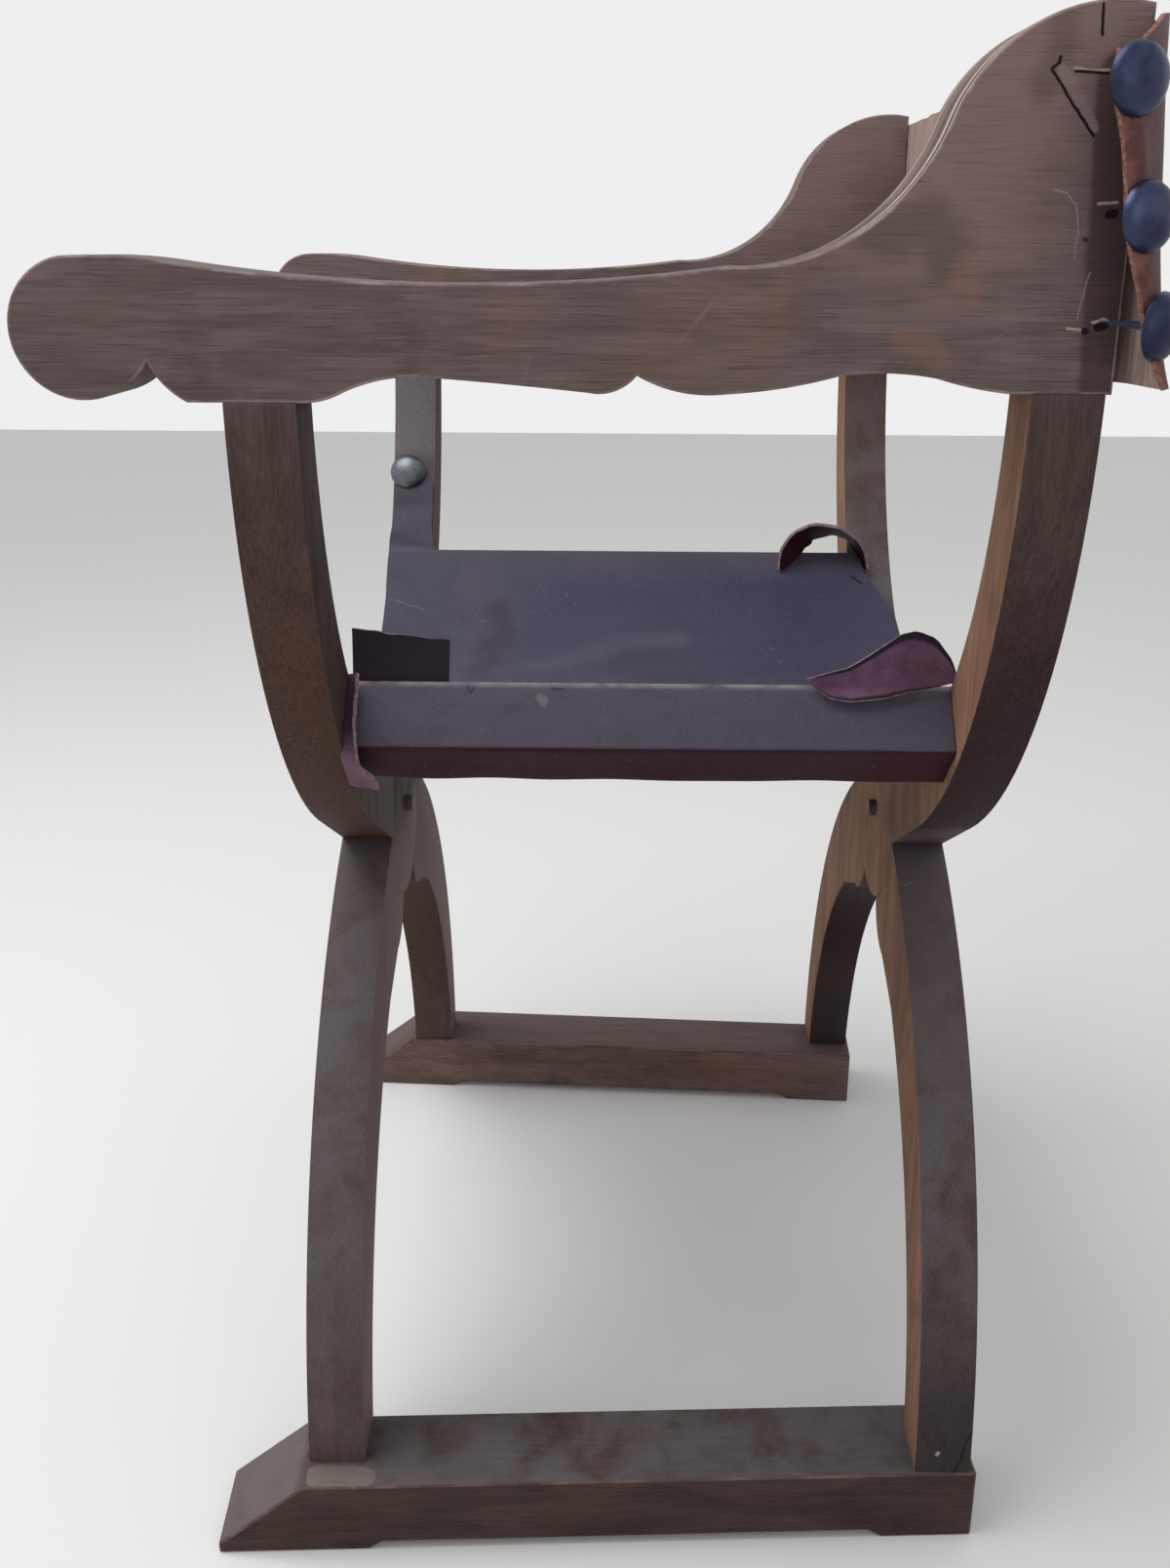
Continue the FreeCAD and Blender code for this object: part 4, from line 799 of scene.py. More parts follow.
# The arm's outline in shares of its length and of its wing's height, from the rear of its underside.
UNDERSIDE = [
    ((0.882, 0.046), (0.842, 0.075)),
    ((0.795, 0.088), (0.753, 0.079)),
    ((0.702, 0.046), (0.652, 0.030)),
    ((0.600, 0.042), (0.571, 0.078)),
    ((0.557, 0.044), (0.527, 0.032)),
    ((0.450, 0.054), (0.372, 0.072)),
    ((0.335, 0.060), (0.303, 0.028)),
    ((0.284, 0.006), (0.264, 0.0)),
]
NOTCH_AND_HEAD = [
    ((0.143, 0.036), (0.126, 0.107)),
    ((0.092, 0.020), (0.057, 0.006)),
    ((0.003, 0.170), (0.055, 0.384)),
    ((0.095, 0.386), (0.137, 0.376)),
]
TOP = [
    ((0.350, 0.318), (0.655, 0.364)),
    ((0.774, 0.470), (0.838, 0.722)),
    ((0.897, 0.945), (1.0, 1.0)),
]
REAR_UNDERSIDE = 6
# Places across the arm's edge, from its outer side to its inner side, and how deep the groove is there.
GROOVE = [(0, 0), (3.5, 0), (5, 1.0), (8, 1.0), (9.5, 0), (16.5, 0), (18.5, 0.45), (38, 0.45), (40.5, 0),
          (50, 0)]


def arm_outline():
    """The arm's closed outline as (along, up) points: lines and arcs at most 3 mm long."""
    def spot(share):
        return np.array([ARM_FRONT + ARM_LENGTH * share[0], ARM_FLOOR + WING * share[1]])

    points = [np.array([REAR_EDGE, ARM_FLOOR + REAR_UNDERSIDE]),
              np.array([ARM_FRONT + ARM_LENGTH * 0.91, ARM_FLOOR + REAR_UNDERSIDE])]
    for arcs, line_after in ((UNDERSIDE, (0.160, 0.0)), (NOTCH_AND_HEAD, None), (TOP, None)):
        for middle, end in arcs:
            span = np.linalg.norm(spot(end) - points[-1])
            points.extend(bend(points[-1], spot(middle), spot(end), int(span / 3) + 3))
        if line_after:
            points.append(spot(line_after))
    return np.array(points)


def arm_board(name, side, wood, worn):
    """An arm board: its outline carried across the width, sunk by the groove along the wing's rising edge."""
    outline = arm_outline()
    ahead = np.roll(outline, -1, axis=0) - np.roll(outline, 1, axis=0)
    ahead /= np.linalg.norm(ahead, axis=1)[:, None]
    outward = np.stack([-ahead[:, 1], ahead[:, 0]], axis=-1)
    share = (outline[:, 0] - ARM_FRONT) / ARM_LENGTH
    upper = outline[:, 1] > ARM_FLOOR + WING * 0.33
    fade = smooth(share, 0.64, 0.76) * smooth(share, 0.995, 0.97) * upper
    depth = bpy.context.scene.chair_sizes.groove * 1000
    rings = []
    for across, sink in GROOVE:
        line = outline - outward * (fade * sink * depth)[:, None]
        rings.append(np.column_stack([np.full(len(line), side * (OUTSIDE - across)), line]))
    count = len(outline)
    verts = np.concatenate(rings)
    index, _, quads = ring_faces(len(rings), count)
    caps = [index[0][::-1], index[-1]]
    if side < 0:
        quads = quads[:, ::-1]
        caps = [cap[::-1] for cap in caps]
    thing = given(object_of(name, verts, quads.tolist() + [cap.tolist() for cap in caps]), wood, worn)
    mesh = thing.data
    rubbed = np.zeros(len(mesh.polygons), dtype=np.int32)
    for band in (0, 4):
        rubbed[band * count:(band + 1) * count] = (fade > 0.4) & (side < 0)
    mesh.polygons.foreach_set("material_index", rubbed)
    ends = np.zeros(len(mesh.edges) * 2, dtype=np.int32)
    mesh.edges.foreach_get("vertices", ends)
    ring = ends.reshape(-1, 2) // count
    rim = (ring[:, 0] == ring[:, 1]) & ((ring[:, 0] == 0) | (ring[:, 0] == len(rings) - 1))
    stored(mesh, "bevel_weight_edge", rim, "EDGE")
    return softened(thing, "WEIGHT", bpy.context.scene.chair_sizes.arm_arris, 3)


def softened_copy(node, name, width, wood, worn, *others):
    """A CAD node's copy with its doubled points joined, its flat faces made whole and its arrises rounded."""
    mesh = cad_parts[node].data.copy()
    mesh.name = name
    joined(mesh, 1e-5, flatten=True)
    thing = given(bpy.data.objects.new(name, mesh), wood, worn, *others)
    bpy.context.scene.collection.objects.link(thing)
    return softened(thing, "ANGLE", width, 2)


def marked_inner_faces(thing, way, number):
    """Give faces that look along the chair the way of an X-frame's unstained inner side another material."""
    mesh = thing.data
    normals = np.zeros(len(mesh.polygons) * 3, dtype=np.float32)
    mesh.polygons.foreach_get("normal", normals)
    index = np.zeros(len(mesh.polygons), dtype=np.int32)
    mesh.polygons.foreach_get("material_index", index)
    index[(normals.reshape(-1, 3)[:, 1] * way > 0.9) & (index == 0)] = number
    mesh.polygons.foreach_set("material_index", index)
    return thing


def turned_solid(profile, count):
    """A turned solid about +Z from (radius, height) pairs: rings of points with a closed pole at each end."""
    profile = np.array(profile, float)
    turns = np.linspace(0, 2 * math.pi, count, endpoint=False)
    inner = profile[1:-1]
    rings = np.stack([inner[:, :1] * np.cos(turns), inner[:, :1] * np.sin(turns),
                      np.repeat(inner[:, 1:], count, axis=1)], axis=-1).reshape(-1, 3)
    verts = np.concatenate([rings, [[0, 0, profile[0, 1]], [0, 0, profile[-1, 1]]]])
    index, following, quads = ring_faces(len(inner), count)
    faces = quads.tolist()
    low, high = len(rings), len(rings) + 1
    for first, second, pole in ((following[0], index[0], low), (index[-1], following[-1], high)):
        faces += np.stack([first, second, np.full(count, pole)], axis=-1).tolist()
    return verts, faces


def stood(verts, spot, axis):
    """Turn +Z to axis and move the origin to spot."""
    turn = np.array(Vector((0, 0, 1)).rotation_difference(Vector(axis)).to_matrix())
    return verts @ turn.T + np.array(spot, float)


def domed_nail(radius, dome, shank, spot, axis):
    """A domed head with a rolled rim over a square, tapering shank: seat at spot, dome along axis."""
    swell = np.linspace(0, math.pi / 2, 9)
    head = [(0, 1.4), (radius * 0.6, 1.0), (radius * 0.93, 0.0), (radius, 0.5)]
    head += [(radius * math.cos(a), 0.9 + (dome - 0.9) * math.sin(a)) for a in swell[1:-1]] + [(0, dome)]
    head_verts, head_faces = turned_solid(head, 40)
    foot = [(0, -shank), (0.5, -shank + 1.5), (2.5, -shank * 0.35), (2.6, 1.2), (0, 1.3)]
    foot_verts, foot_faces = turned_solid(foot, 4)
    faces = head_faces + [[i + len(head_verts) for i in face] for face in foot_faces]
    return stood(np.concatenate([head_verts, foot_verts]), spot, axis), faces


def gathered(name, parts):
    """One object from several (points, faces) parts."""
    verts, faces, first = [], [], 0
    for part_verts, part_faces in parts:
        verts.append(part_verts)
        faces += [[i + first for i in face] for face in part_faces]
        first += len(part_verts)
    return shaded(object_of(name, np.concatenate(verts), faces), 38)


def rail_spot(side, along_depth, along_height):
    """A place on a seat rail's tilted section, across the chair and up from the floor."""
    sine, cosine = math.sin(RAIL_TILT), math.cos(RAIL_TILT)
    return np.array([side * (RAIL_REACH + along_depth * cosine + along_height * sine),
                     RAIL_HEIGHT - along_depth * sine + along_height * cosine])


# The seat leather's grain side, over the rails' corners.
OVER_DEPTH = RAIL_HALF_DEPTH + HIDE
OVER_HEIGHT = RAIL_HALF_HEIGHT + HIDE
RIDGE = rail_spot(1, -RAIL_HALF_DEPTH - 0.6, OVER_HEIGHT)
SAG_LOW = 480.6
FRONT_FREE = -6
REAR_FREE = 415
WRAP_FRONT = LEG + 0.6
WRAP_REAR = SPACING - 0.6
TEAR_ACROSS = -96
TEAR_ALONG = 59.5
EAR_FOOT = 185
FREE_EDGE_IN = 5


def hanging(across):
    """Height of the slung seat: the arc of a circle through both ridges and the lowest point."""
    drop = RIDGE[1] - SAG_LOW
    radius = (RIDGE[0] ** 2 + drop ** 2) / (2 * drop)
    return SAG_LOW + radius - np.sqrt(radius ** 2 - np.asarray(across) ** 2)


def wrap_path(side):
    """From a ridge outwards over the rail, down its outer face and under it, as (across, up) points."""
    low = rail_spot(side, OVER_DEPTH, -OVER_HEIGHT)
    return along_path([(side * RIDGE[0], RIDGE[1]), rail_spot(side, OVER_DEPTH, OVER_HEIGHT), low,
                       rail_spot(side, RAIL_HALF_DEPTH - 20, -OVER_HEIGHT)], [3.2, 3.2], 4.0)


def sheet_patch(across, along, up, keep=None, flip=False):
    """A grid of points, one row for each place across and one column for each place along, and its quads.

    keep is a mask of the quads that stay, and flip turns them over.
    """
    points = np.stack(np.broadcast_arrays(across, along, up), axis=-1)
    index = np.arange(points[:, :, 0].size).reshape(points.shape[:2])
    quads = np.stack([index[:-1, :-1], index[1:, :-1], index[1:, 1:], index[:-1, 1:]], axis=-1)
    faces = quads.reshape(-1, 4) if keep is None else quads[keep]
    return points.reshape(-1, 3), faces[:, ::-1] if flip else faces


def seat_lines():
    """The lines across and along the chair that the seat leather's patches share."""
    across = np.concatenate([
        np.linspace(-RIDGE[0], TEAR_ACROSS, 34), np.linspace(TEAR_ACROSS, EAR_FOOT, 80),
        np.linspace(EAR_FOOT, RIDGE[0], 8)])
    along = np.concatenate([
        np.linspace(FRONT_FREE, WRAP_FRONT, 12), np.linspace(WRAP_FRONT, TEAR_ALONG, 8),
        np.linspace(TEAR_ALONG, WRAP_REAR, 84), np.linspace(WRAP_REAR, REAR_FREE, 10)])
    return np.unique(across.round(4)), np.unique(along.round(4))


def sling_patch(across, along):
    """The slung seat between the ridges, torn in front, and its pale line along the left ridge, partly wear
    and partly painted highlight.
    """
    waves = bpy.context.scene.chair_sizes.waves * 1000
    first, second = np.meshgrid(across, along, indexing="ij")
    inside = smooth(np.abs(first), RIDGE[0], RIDGE[0] - 45)
    height = hanging(first) + waves * inside * (ripple(first / 34, second / 48, 1.3)
                                                + 0.5 * ripple(first / 11, second / 15, 4.1))
    # A pull runs from the torn corner towards the rear of the right rail.
    pull = np.exp(-((first + 60 - (second - 60) * 0.42) / 16) ** 2)
    pull = pull * smooth(second, 50, 90) * smooth(second, 300, 160)
    height = height + 1.8 * pull * inside
    # The rear edge runs in towards the right ridge, where its ear is torn off.
    pinch = 20 * smooth(first, -130, -RIDGE[0] + 4) * smooth(second, WRAP_REAR, REAR_FREE)
    torn = 1.1 * ripple(first / 15, 0, 0.7) + 0.3 * ripple(first / 4, 0, 2.6)
    torn = torn * smooth(first, -RIDGE[0], -RIDGE[0] + 6)
    # The front edge runs in from the right ridge towards the tear.
    slant = FREE_EDGE_IN + 7 * smooth(first, -RIDGE[0], TEAR_ACROSS)
    moved = second - pinch + torn * (second > REAR_FREE - 0.5) - torn * (second < FRONT_FREE + 0.5)
    moved = moved + slant * np.clip((WRAP_FRONT - second) / (WRAP_FRONT - FRONT_FREE), 0, 1)
    ragged = (np.abs(first - TEAR_ACROSS) < 0.01) & (second < TEAR_ALONG - 1)
    first_moved = first + ragged * (0.8 * ripple(second / 5, 0, 2.2)
                                    - 6.0 * smooth(second, TEAR_ALONG, FRONT_FREE))
    middle_across = (first[:-1, :-1] + first[1:, 1:]) / 2
    middle_along = (second[:-1, :-1] + second[1:, 1:]) / 2
    gone = (middle_across > TEAR_ACROSS) & (middle_across < EAR_FOOT) & (middle_along < TEAR_ALONG)
    gone |= (middle_across >= EAR_FOOT) & (middle_along < WRAP_FRONT)
    middle = (second > WRAP_FRONT - 0.01) & (second < WRAP_REAR + 0.01)
    worn = np.exp(-((RIDGE[0] - np.abs(first)) / 1.6) ** 2) * middle * (first > 0)
    return sheet_patch(first_moved, moved, height, ~gone), worn


def wrap_patch(side, between):
    """The leather round a seat rail, sagging a little under it, and its pale line along the left ridge,
    partly wear and partly painted highlight.
    """
    path = wrap_path(side)
    run = run_along(path)[:, None]
    droop = 1.1 + 1.3 * ripple(between / 21, 0, 3.1 + side)
    droop = droop * np.exp(-((run - 77) / 9) ** 2)
    swell = 0.5 * ripple(between / 26, run / 12, 5 + side) * smooth(run, 0, 14)
    swell = np.abs(swell) * smooth(run, 74, 60)
    patch = sheet_patch(path[:, :1] + side * math.sin(RAIL_TILT) * swell, between,
                        path[:, 1:] + math.cos(RAIL_TILT) * swell - np.abs(droop), flip=side < 0)
    return patch, np.exp(-(run / 1.8) ** 2) * (side > 0) + 0 * between


def ear_patch(front):
    """The ear up the right front leg's inner curve, rounded off over its nail and nowhere worn."""
    rise = np.linspace(0, 1, 26)[:, None]
    radius = CURVE_RADIUS - GAP - HIDE
    begin = math.asin((CURVE_HEIGHT - RIDGE[1]) / radius)
    end = math.asin((CURVE_HEIGHT - PIVOT_RISE - 216) / radius)
    turn = begin + (end - begin) * rise
    share = (front - FRONT_FREE) / (WRAP_FRONT - FRONT_FREE)
    low_edge = FRONT_FREE + FREE_EDGE_IN + 3 * smooth(rise, 0.1, 0.45) + 5 * smooth(rise, 0.8, 1)
    high_edge = WRAP_FRONT - 1.5 * smooth(rise, 0.05, 0.3) - 8 * smooth(rise, 0.75, 1)
    wander = 0.7 * ripple(rise * 9, 0, 1.1)
    ear_along = low_edge + (high_edge - low_edge) * share + wander * smooth(rise, 0, 0.08)
    stand = (1.1 * ripple(rise * 6, share * 2, 2.0) + 1.1) * smooth(rise, 0, 0.12)
    # The ear's foot meets the ridge and runs on to the curve.
    meet = (RIDGE[0] - radius * math.cos(begin)) * smooth(rise, 0.3, 0)
    patch = sheet_patch(-(radius - stand) * np.cos(turn) - meet, ear_along,
                        CURVE_HEIGHT - (radius - stand) * np.sin(turn), flip=True)
    return patch, np.zeros(len(patch[0]))


def flap_leaf():
    """The torn rear flap, flesh side out, ruled from its edge on the rail to its upper edge, and its painted
    shade at its foot and upper edge.
    """
    share = np.linspace(0, 1, 30)
    low = spread([(301, 547.0), (306, 541), (314, 536.5), (325, 535.0), (345, 536.5), (367, 541.5),
                  (388, 546.5)], share)
    high = spread([(301, 547.6), (313, 551), (324, 554), (341, 565), (354, 573.5), (363, 575.5),
                   (374, 571.5), (383, 560), (388, 547.2)], share)
    blend = np.linspace(0, 1, 12)
    along, up = (low[:, axis:axis + 1] * (1 - blend) + high[:, axis:axis + 1] * blend for axis in (0, 1))
    above = up - RIDGE[1]
    on_rail = RIDGE[0] + 3.2 - np.minimum(above, 0) * 0.98
    leaning = 1.5 * np.sin(np.clip(above, 0, 40) / 40 * math.pi) - 0.11 * np.clip(above, 0, 40)
    across = on_rail + leaning + 0.8 * ripple(along / 9, up / 9, 1.5) + 0.8
    rim = np.minimum(smooth(blend, 0.82, 0.95) + smooth(blend, 0.1, 0.02), 1)
    return sheet_patch(across, along, up, flip=True), rim + 0 * up


def torn_ear_leaf():
    """The front ear's torn foot: it stands behind the left front leg, on the sling beside the ridge, dark
    with painted shade.
    """
    along = np.linspace(WRAP_FRONT + 0.4, 92.5, 26)
    stand = np.linspace(0, 1, 14)[:, None]
    shorter = (along - WRAP_FRONT) / 57
    top = 572.5 - 8.5 * shorter + 0.7 * ripple(along / 3.1, 0, 0.4)
    up = (RIDGE[1] - 3.2) * (1 - stand) + top * stand
    across = 203.2 - 2.5 * np.sin(stand * math.pi * 0.8) - 4.5 * stand ** 2 * (0.4 + shorter)
    across = across + 0.5 * ripple(along / 12, stand * 2, 3.3) * stand
    return sheet_patch(across, along, up), 0.7 + 0 * up


def lip_leaf():
    """The left wrap's front end rolled back over itself, wider at its foot, with painted shade that thins
    towards its foot.
    """
    path = wrap_path(1)
    run = run_along(path)
    path = path[run < 74]
    run = run[run < 74][:, None]
    out = headings(path)[:, ::-1] * np.array([1, -1])
    away = np.sum(out * (path - np.array([RAIL_REACH, RAIL_HEIGHT])), axis=1, keepdims=True)
    out = np.where(away < 0, -out, out)
    roll = np.linspace(0, 1, 15)
    radius = 1.9 + 0.9 * smooth(run, 20, 60)
    back_run = 4.2 + 9.0 * smooth(run, 36, 62) + 0.7 * ripple(run / 6, 0, 2.5)
    turn = np.clip(roll / 0.5, 0, 1) * math.pi
    beyond = np.clip((roll - 0.5) / 0.5, 0, 1)
    along = WRAP_FRONT + radius - radius * np.sin(turn) + back_run * beyond
    lift = HIDE + 0.4 + radius * (1 - np.cos(turn)) + 2.2 * beyond ** 2
    patch = sheet_patch(path[:, :1] + out[:, :1] * lift, along, path[:, 1:] + out[:, 1:] * lift, flip=True)
    return patch, 0.62 - 0.5 * smooth(run, 34, 50) + 0 * roll


def curl_leaf():
    """The right rear ear: a ribbon along a hooked line, turned from across the chair to the hook's inside."""
    steps = np.linspace(0, 1, 40)[:, None]
    line = spread([(399, 532), (396, 545), (389, 557), (374, 566.5), (352, 569.5), (336, 562), (327, 548),
                   (326, 532)], steps[:, 0])
    for _ in range(3):
        line[1:-1] = (line[:-2] + 2 * line[1:-1] + line[2:]) / 4
    inward = headings(line)[:, ::-1] * np.array([-1, 1])
    lean = np.radians(78 - 30 * smooth(steps, 0.2, 0.7))
    wide = np.linspace(0, 1, 8) * (29 - 10 * smooth(steps, 0.85, 1) + 0.8 * ripple(steps * 14, 0, 1))
    patch = sheet_patch(-184 - wide * np.sin(lean) - 5 * smooth(steps, 0.25, 0),
                        line[:, :1] + inward[:, :1] * wide * np.cos(lean),
                        line[:, 1:] + inward[:, 1:] * wide * np.cos(lean))
    # The whole curl is darkened with painted shade.
    return patch, np.ones(len(patch[0]))


# The front edge of the loose left end: heights with its places along, from the lower edge up.
LOOSE_EDGE = [(721, 438.5), (736, 430.5), (747, 426), (764, 421.5), (780, 416), (793, 412.5), (809, 410.5),
              (829, 407.3), (848, 402.4), (863, 400.5), (879, 401)]
BACK_LOW = 721
BACK_HIGH = 879
BACK_WRAP = 34
BACK_NAIL = 15.6
BACK_DOME = 9
NAIL_LEVELS = (851, 795.5, 749)
NAIL_ALONG = REAR_EDGE - 17
EAR_NAIL = 15
EAR_DOME = 8
EAR_NAIL_RISE = 209
EAR_NAIL_ALONG = 12.5
CAMERA_PLACE = (1.0537, 0.0195, 0.7799)
CAMERA_TURN = (19.33, -0.98, 0.25)


def loose_curve(height, share):
    """The loose left end's outer line at a height: a cubic curve from the wing to the end's front edge."""
    low = (BACK_HIGH - np.asarray(height, float)) / (BACK_HIGH - BACK_LOW)
    levels, edge = np.array(LOOSE_EDGE).T
    share = np.asarray(share, float)
    weights = ((1 - share) ** 3, 3 * share * (1 - share) ** 2, 3 * share ** 2 * (1 - share), share ** 3)
    behind = REAR_EDGE + GAP + BACK_HIDE
    across = (299, 321 + 5 * low, 337 + 3 * low, 348.5)
    along = (behind, behind + 6 + 8 * low, behind + 4 + 16 * low, np.interp(height, levels, edge))
    return (sum(weight * value for weight, value in zip(weights, across)),
            sum(weight * value for weight, value in zip(weights, along)))


def loose_end(height, place):
    """Where a drawn nail's head sits on the loose left end, and the way that it faces."""
    across, along = (np.array(loose_curve(height, share)) for share in (place - 0.04, place + 0.04))
    middle = (across + along) / 2
    run = along - across
    out = np.array([run[1], -run[0]]) / np.linalg.norm(run)
    out = out if out[0] > 0 else -out
    middle = middle + GAP * out
    return (middle[0], middle[1], height), (out[0], out[1], 0)


def back_sheet():
    """The back leather's outside: round the right wing, across the back and out at the left."""
    behind = REAR_EDGE + GAP + BACK_HIDE
    outside = -OUTSIDE - GAP - BACK_HIDE
    tight = along_path([(outside, REAR_EDGE - BACK_WRAP), (outside, behind), (299, behind)], [3.5], 5.0)
    share = np.linspace(0, 1, 29)[1:]
    height = np.linspace(BACK_LOW, BACK_HIGH, 41)[:, None]
    loose_across, loose_along = loose_curve(height, share[None, :])
    across = np.concatenate([tight[:, 0] + 0 * height, loose_across], axis=1)
    along = np.concatenate([tight[:, 1] + 0 * height, loose_along], axis=1)
    free = smooth(across, -OUTSIDE + 44, -OUTSIDE + 110) * smooth(across, OUTSIDE - 50, OUTSIDE - 110)
    wave = 1.3 * ripple(across / 24, height / 90, 0.9) + 0.5 * ripple(across / 8, height / 40, 2.2)
    along = along + free * (1.3 + wave)
    # The upper edge runs down towards the loose front corner, and both edges wander a little.
    end = np.concatenate([np.zeros(len(tight)), share])[None, :]
    top = (height - BACK_LOW) / (BACK_HIGH - BACK_LOW)
    edge = 0.9 * ripple(across / 17, 0, 5.0) - 0.9
    up = height + top ** 4 * (edge - 15 * smooth(end, 0.55, 1)) - (1 - top) ** 4 * edge
    rim = smooth(end + 0 * height, 0.8, 0.9)
    return (*sheet_patch(across, along, up), rim.reshape(-1))


def dressed(node, material):
    """Give a CAD node that keeps its shape a material."""
    given(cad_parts[node], material)


class CHAIR_OT_arms(bpy.types.Operator):
    """Make both arm boards with their moulded wings."""

    bl_idname = "chair.arms"
    bl_label = "Arm boards"

    def execute(self, context):
        looks = finishes()
        for side, word, wood in ((1, "left", looks["wing"]), (-1, "right", looks["arm"])):
            board = arm_board(f"{word}_arm_board", side, wood, looks["arm_edge"])
            finish_piece(board, "walnut", f"{word}_frame", f"{word}_arm")
        return {"FINISHED"}


class CHAIR_OT_legs(bpy.types.Operator):
    """Make the four S-curved legs with rounded arrises, unstained inner faces on the rear legs and darker
    inner faces, as painted shade, on the front legs.
    """

    bl_idname = "chair.legs"
    bl_label = "Legs"

    def execute(self, context):
        looks = finishes()
        for row, way, inner in (("front", 1, "shade_leg"), ("rear", -1, "leg_raw")):
            for side in ("left", "right"):
                node = f"{row}_leg_{side}"
                leg = softened_copy(node, f"{node}_board", context.scene.chair_sizes.arris,
                                    looks[f"{row}_leg"], looks["leg_edge"], looks[inner])
                marked_inner_faces(leg, way, 2)
                finish_piece(leg, "walnut", f"{side}_frame", node)
        return {"FINISHED"}


class CHAIR_OT_rails(bpy.types.Operator):
    """Make the foot rails and the seat rails with rounded arrises."""

    bl_idname = "chair.rails"
    bl_label = "Rails"

    def execute(self, context):
        looks = finishes()
        bodies = {"left_foot_rail": "right_frame", "right_foot_rail": "left_frame",
                  "left_seat_rail": "left_frame", "right_seat_rail": "right_frame"}
        for node, body in bodies.items():
            wood = looks["near_rail" if node.startswith("left") else "far_rail"]
            arris = context.scene.chair_sizes.arris
            rail = softened_copy(node, f"{node}_board", arris, wood, looks["rail_edge"])
            finish_piece(rail, "rail_wood", body, node)
        return {"FINISHED"}


class CHAIR_OT_seat(bpy.types.Operator):
    """Make the torn seat leather, slung between the rails."""

    bl_idname = "chair.seat"
    bl_label = "Seat leather"

    def execute(self, context):
        looks = finishes()
        across, along = seat_lines()
        between = along[(along > WRAP_FRONT - 0.001) & (along < WRAP_REAR + 0.001)]
        front = along[along < WRAP_FRONT + 0.001]
        patches, worn, shades = [], [], []
        for patch, wear in (sling_patch(across, along), wrap_patch(1, between), wrap_patch(-1, between),
                            ear_patch(front)):
            patches.append(patch)
            worn.append(wear.reshape(-1))
            shades.append(np.zeros(len(patch[0])))
        # The leaves' rim values are their painted shade.
        for leaf, shade in (flap_leaf(), torn_ear_leaf(), lip_leaf(), curl_leaf()):
            patches.append(leaf)
            worn.append(np.zeros(len(leaf[0])))
            shades.append(shade.reshape(-1))
        starts = np.cumsum([0] + [len(points) for points, _ in patches[:-1]])
        faces = np.concatenate([part + start for (_, part), start in zip(patches, starts)])
        sheet = object_of("seat_hide", np.concatenate([points for points, _ in patches]), faces.tolist())
        for name, values in (("rim", shades), ("worn", worn)):
            stored(sheet.data, name, np.concatenate(values))
        joined(sheet.data, 2e-5)
        thickened(sheet, context.scene.chair_sizes.seat_hide, looks["seat"], looks["suede"],
                  looks["seat_edge"])
        finish_piece(sheet, "seat_leather", None, "seat_leather")
        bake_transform(sheet)
        return {"FINISHED"}


class CHAIR_OT_back(bpy.types.Operator):
    """Make the back leather, tight round the right wing and loose at the left one."""

    bl_idname = "chair.back"
    bl_label = "Back leather"

    def execute(self, context):
        looks = finishes()
        verts, faces, rim = back_sheet()
        sheet = object_of("back_hide", verts, faces.tolist())
        stored(sheet.data, "rim", rim)
        thickened(sheet, context.scene.chair_sizes.back_hide, looks["back"], looks["flesh"],
                  looks["back_edge"])
        finish_piece(sheet, "back_leather", None, "back_leather")
        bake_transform(sheet)
        return {"FINISHED"}


class CHAIR_OT_nails(bpy.types.Operator):
    """Make the large domed nails of the back, the nail of the ear and the tacks under the seat rails."""

    bl_idname = "chair.nails"
    bl_label = "Nails and tacks"

    def execute(self, context):
        looks = finishes()
        drawn = []
        places = (0.9, 0.865, 0.84)
        leans = (0.0, -3.0, 4.0)
        shanks = (17, 17, 29)
        for level, place, lean, shank in zip(NAIL_LEVELS, places, leans, shanks):
            spot, axis = loose_end(level, place)
            turn = Matrix.Rotation(math.radians(lean), 3, "Y") @ Vector(axis)
            drawn.append(domed_nail(BACK_NAIL, BACK_DOME, shank, spot, turn))
        beyond = -OUTSIDE - 2 * GAP - BACK_HIDE
        driven = [domed_nail(BACK_NAIL, BACK_DOME, 29, (beyond, NAIL_ALONG, level), (-1, 0, 0))
                  for level in NAIL_LEVELS]
        sine = (CURVE_HEIGHT - PIVOT_RISE - EAR_NAIL_RISE) / CURVE_RADIUS
        cosine = math.sqrt(1 - sine ** 2)
        chord = math.sqrt((CURVE_RADIUS - 2 * GAP - HIDE) ** 2 - EAR_NAIL ** 2)
        seat = (-chord * cosine, EAR_NAIL_ALONG, CURVE_HEIGHT - chord * sine)
        ear = [domed_nail(EAR_NAIL, EAR_DOME, 21, seat, (cosine, 0, sine))]
        for name, node, parts, side, look in (
                ("left_back_nail_row", "left_back_nails", drawn, "left", "nail"),
                ("right_back_nail_row", "right_back_nails", driven, "right", "nail"),
                ("seat_ear_nail_head", "seat_ear_nail", ear, "right", "ear_nail")):
            finish_piece(given(gathered(name, parts), looks[look]), "nail_iron", f"{side}_frame", node)
        for side, word in ((1, "left"), (-1, "right")):
            across, up = rail_spot(side, RAIL_HALF_DEPTH - 11, -OVER_HEIGHT - GAP)
            down = (-side * math.sin(RAIL_TILT), 0, -math.cos(RAIL_TILT))
            places = LEG + (SPACING - LEG) * (np.arange(5) + 0.5) / 5
            tacks = [domed_nail(4, 2, 12, (across, along, up), down) for along in places]
            finish_piece(given(gathered(f"{word}_seat_tack_row", tacks), looks["iron"]), "dark_iron",
                         f"{word}_frame", f"{word}_seat_tacks")
        return {"FINISHED"}


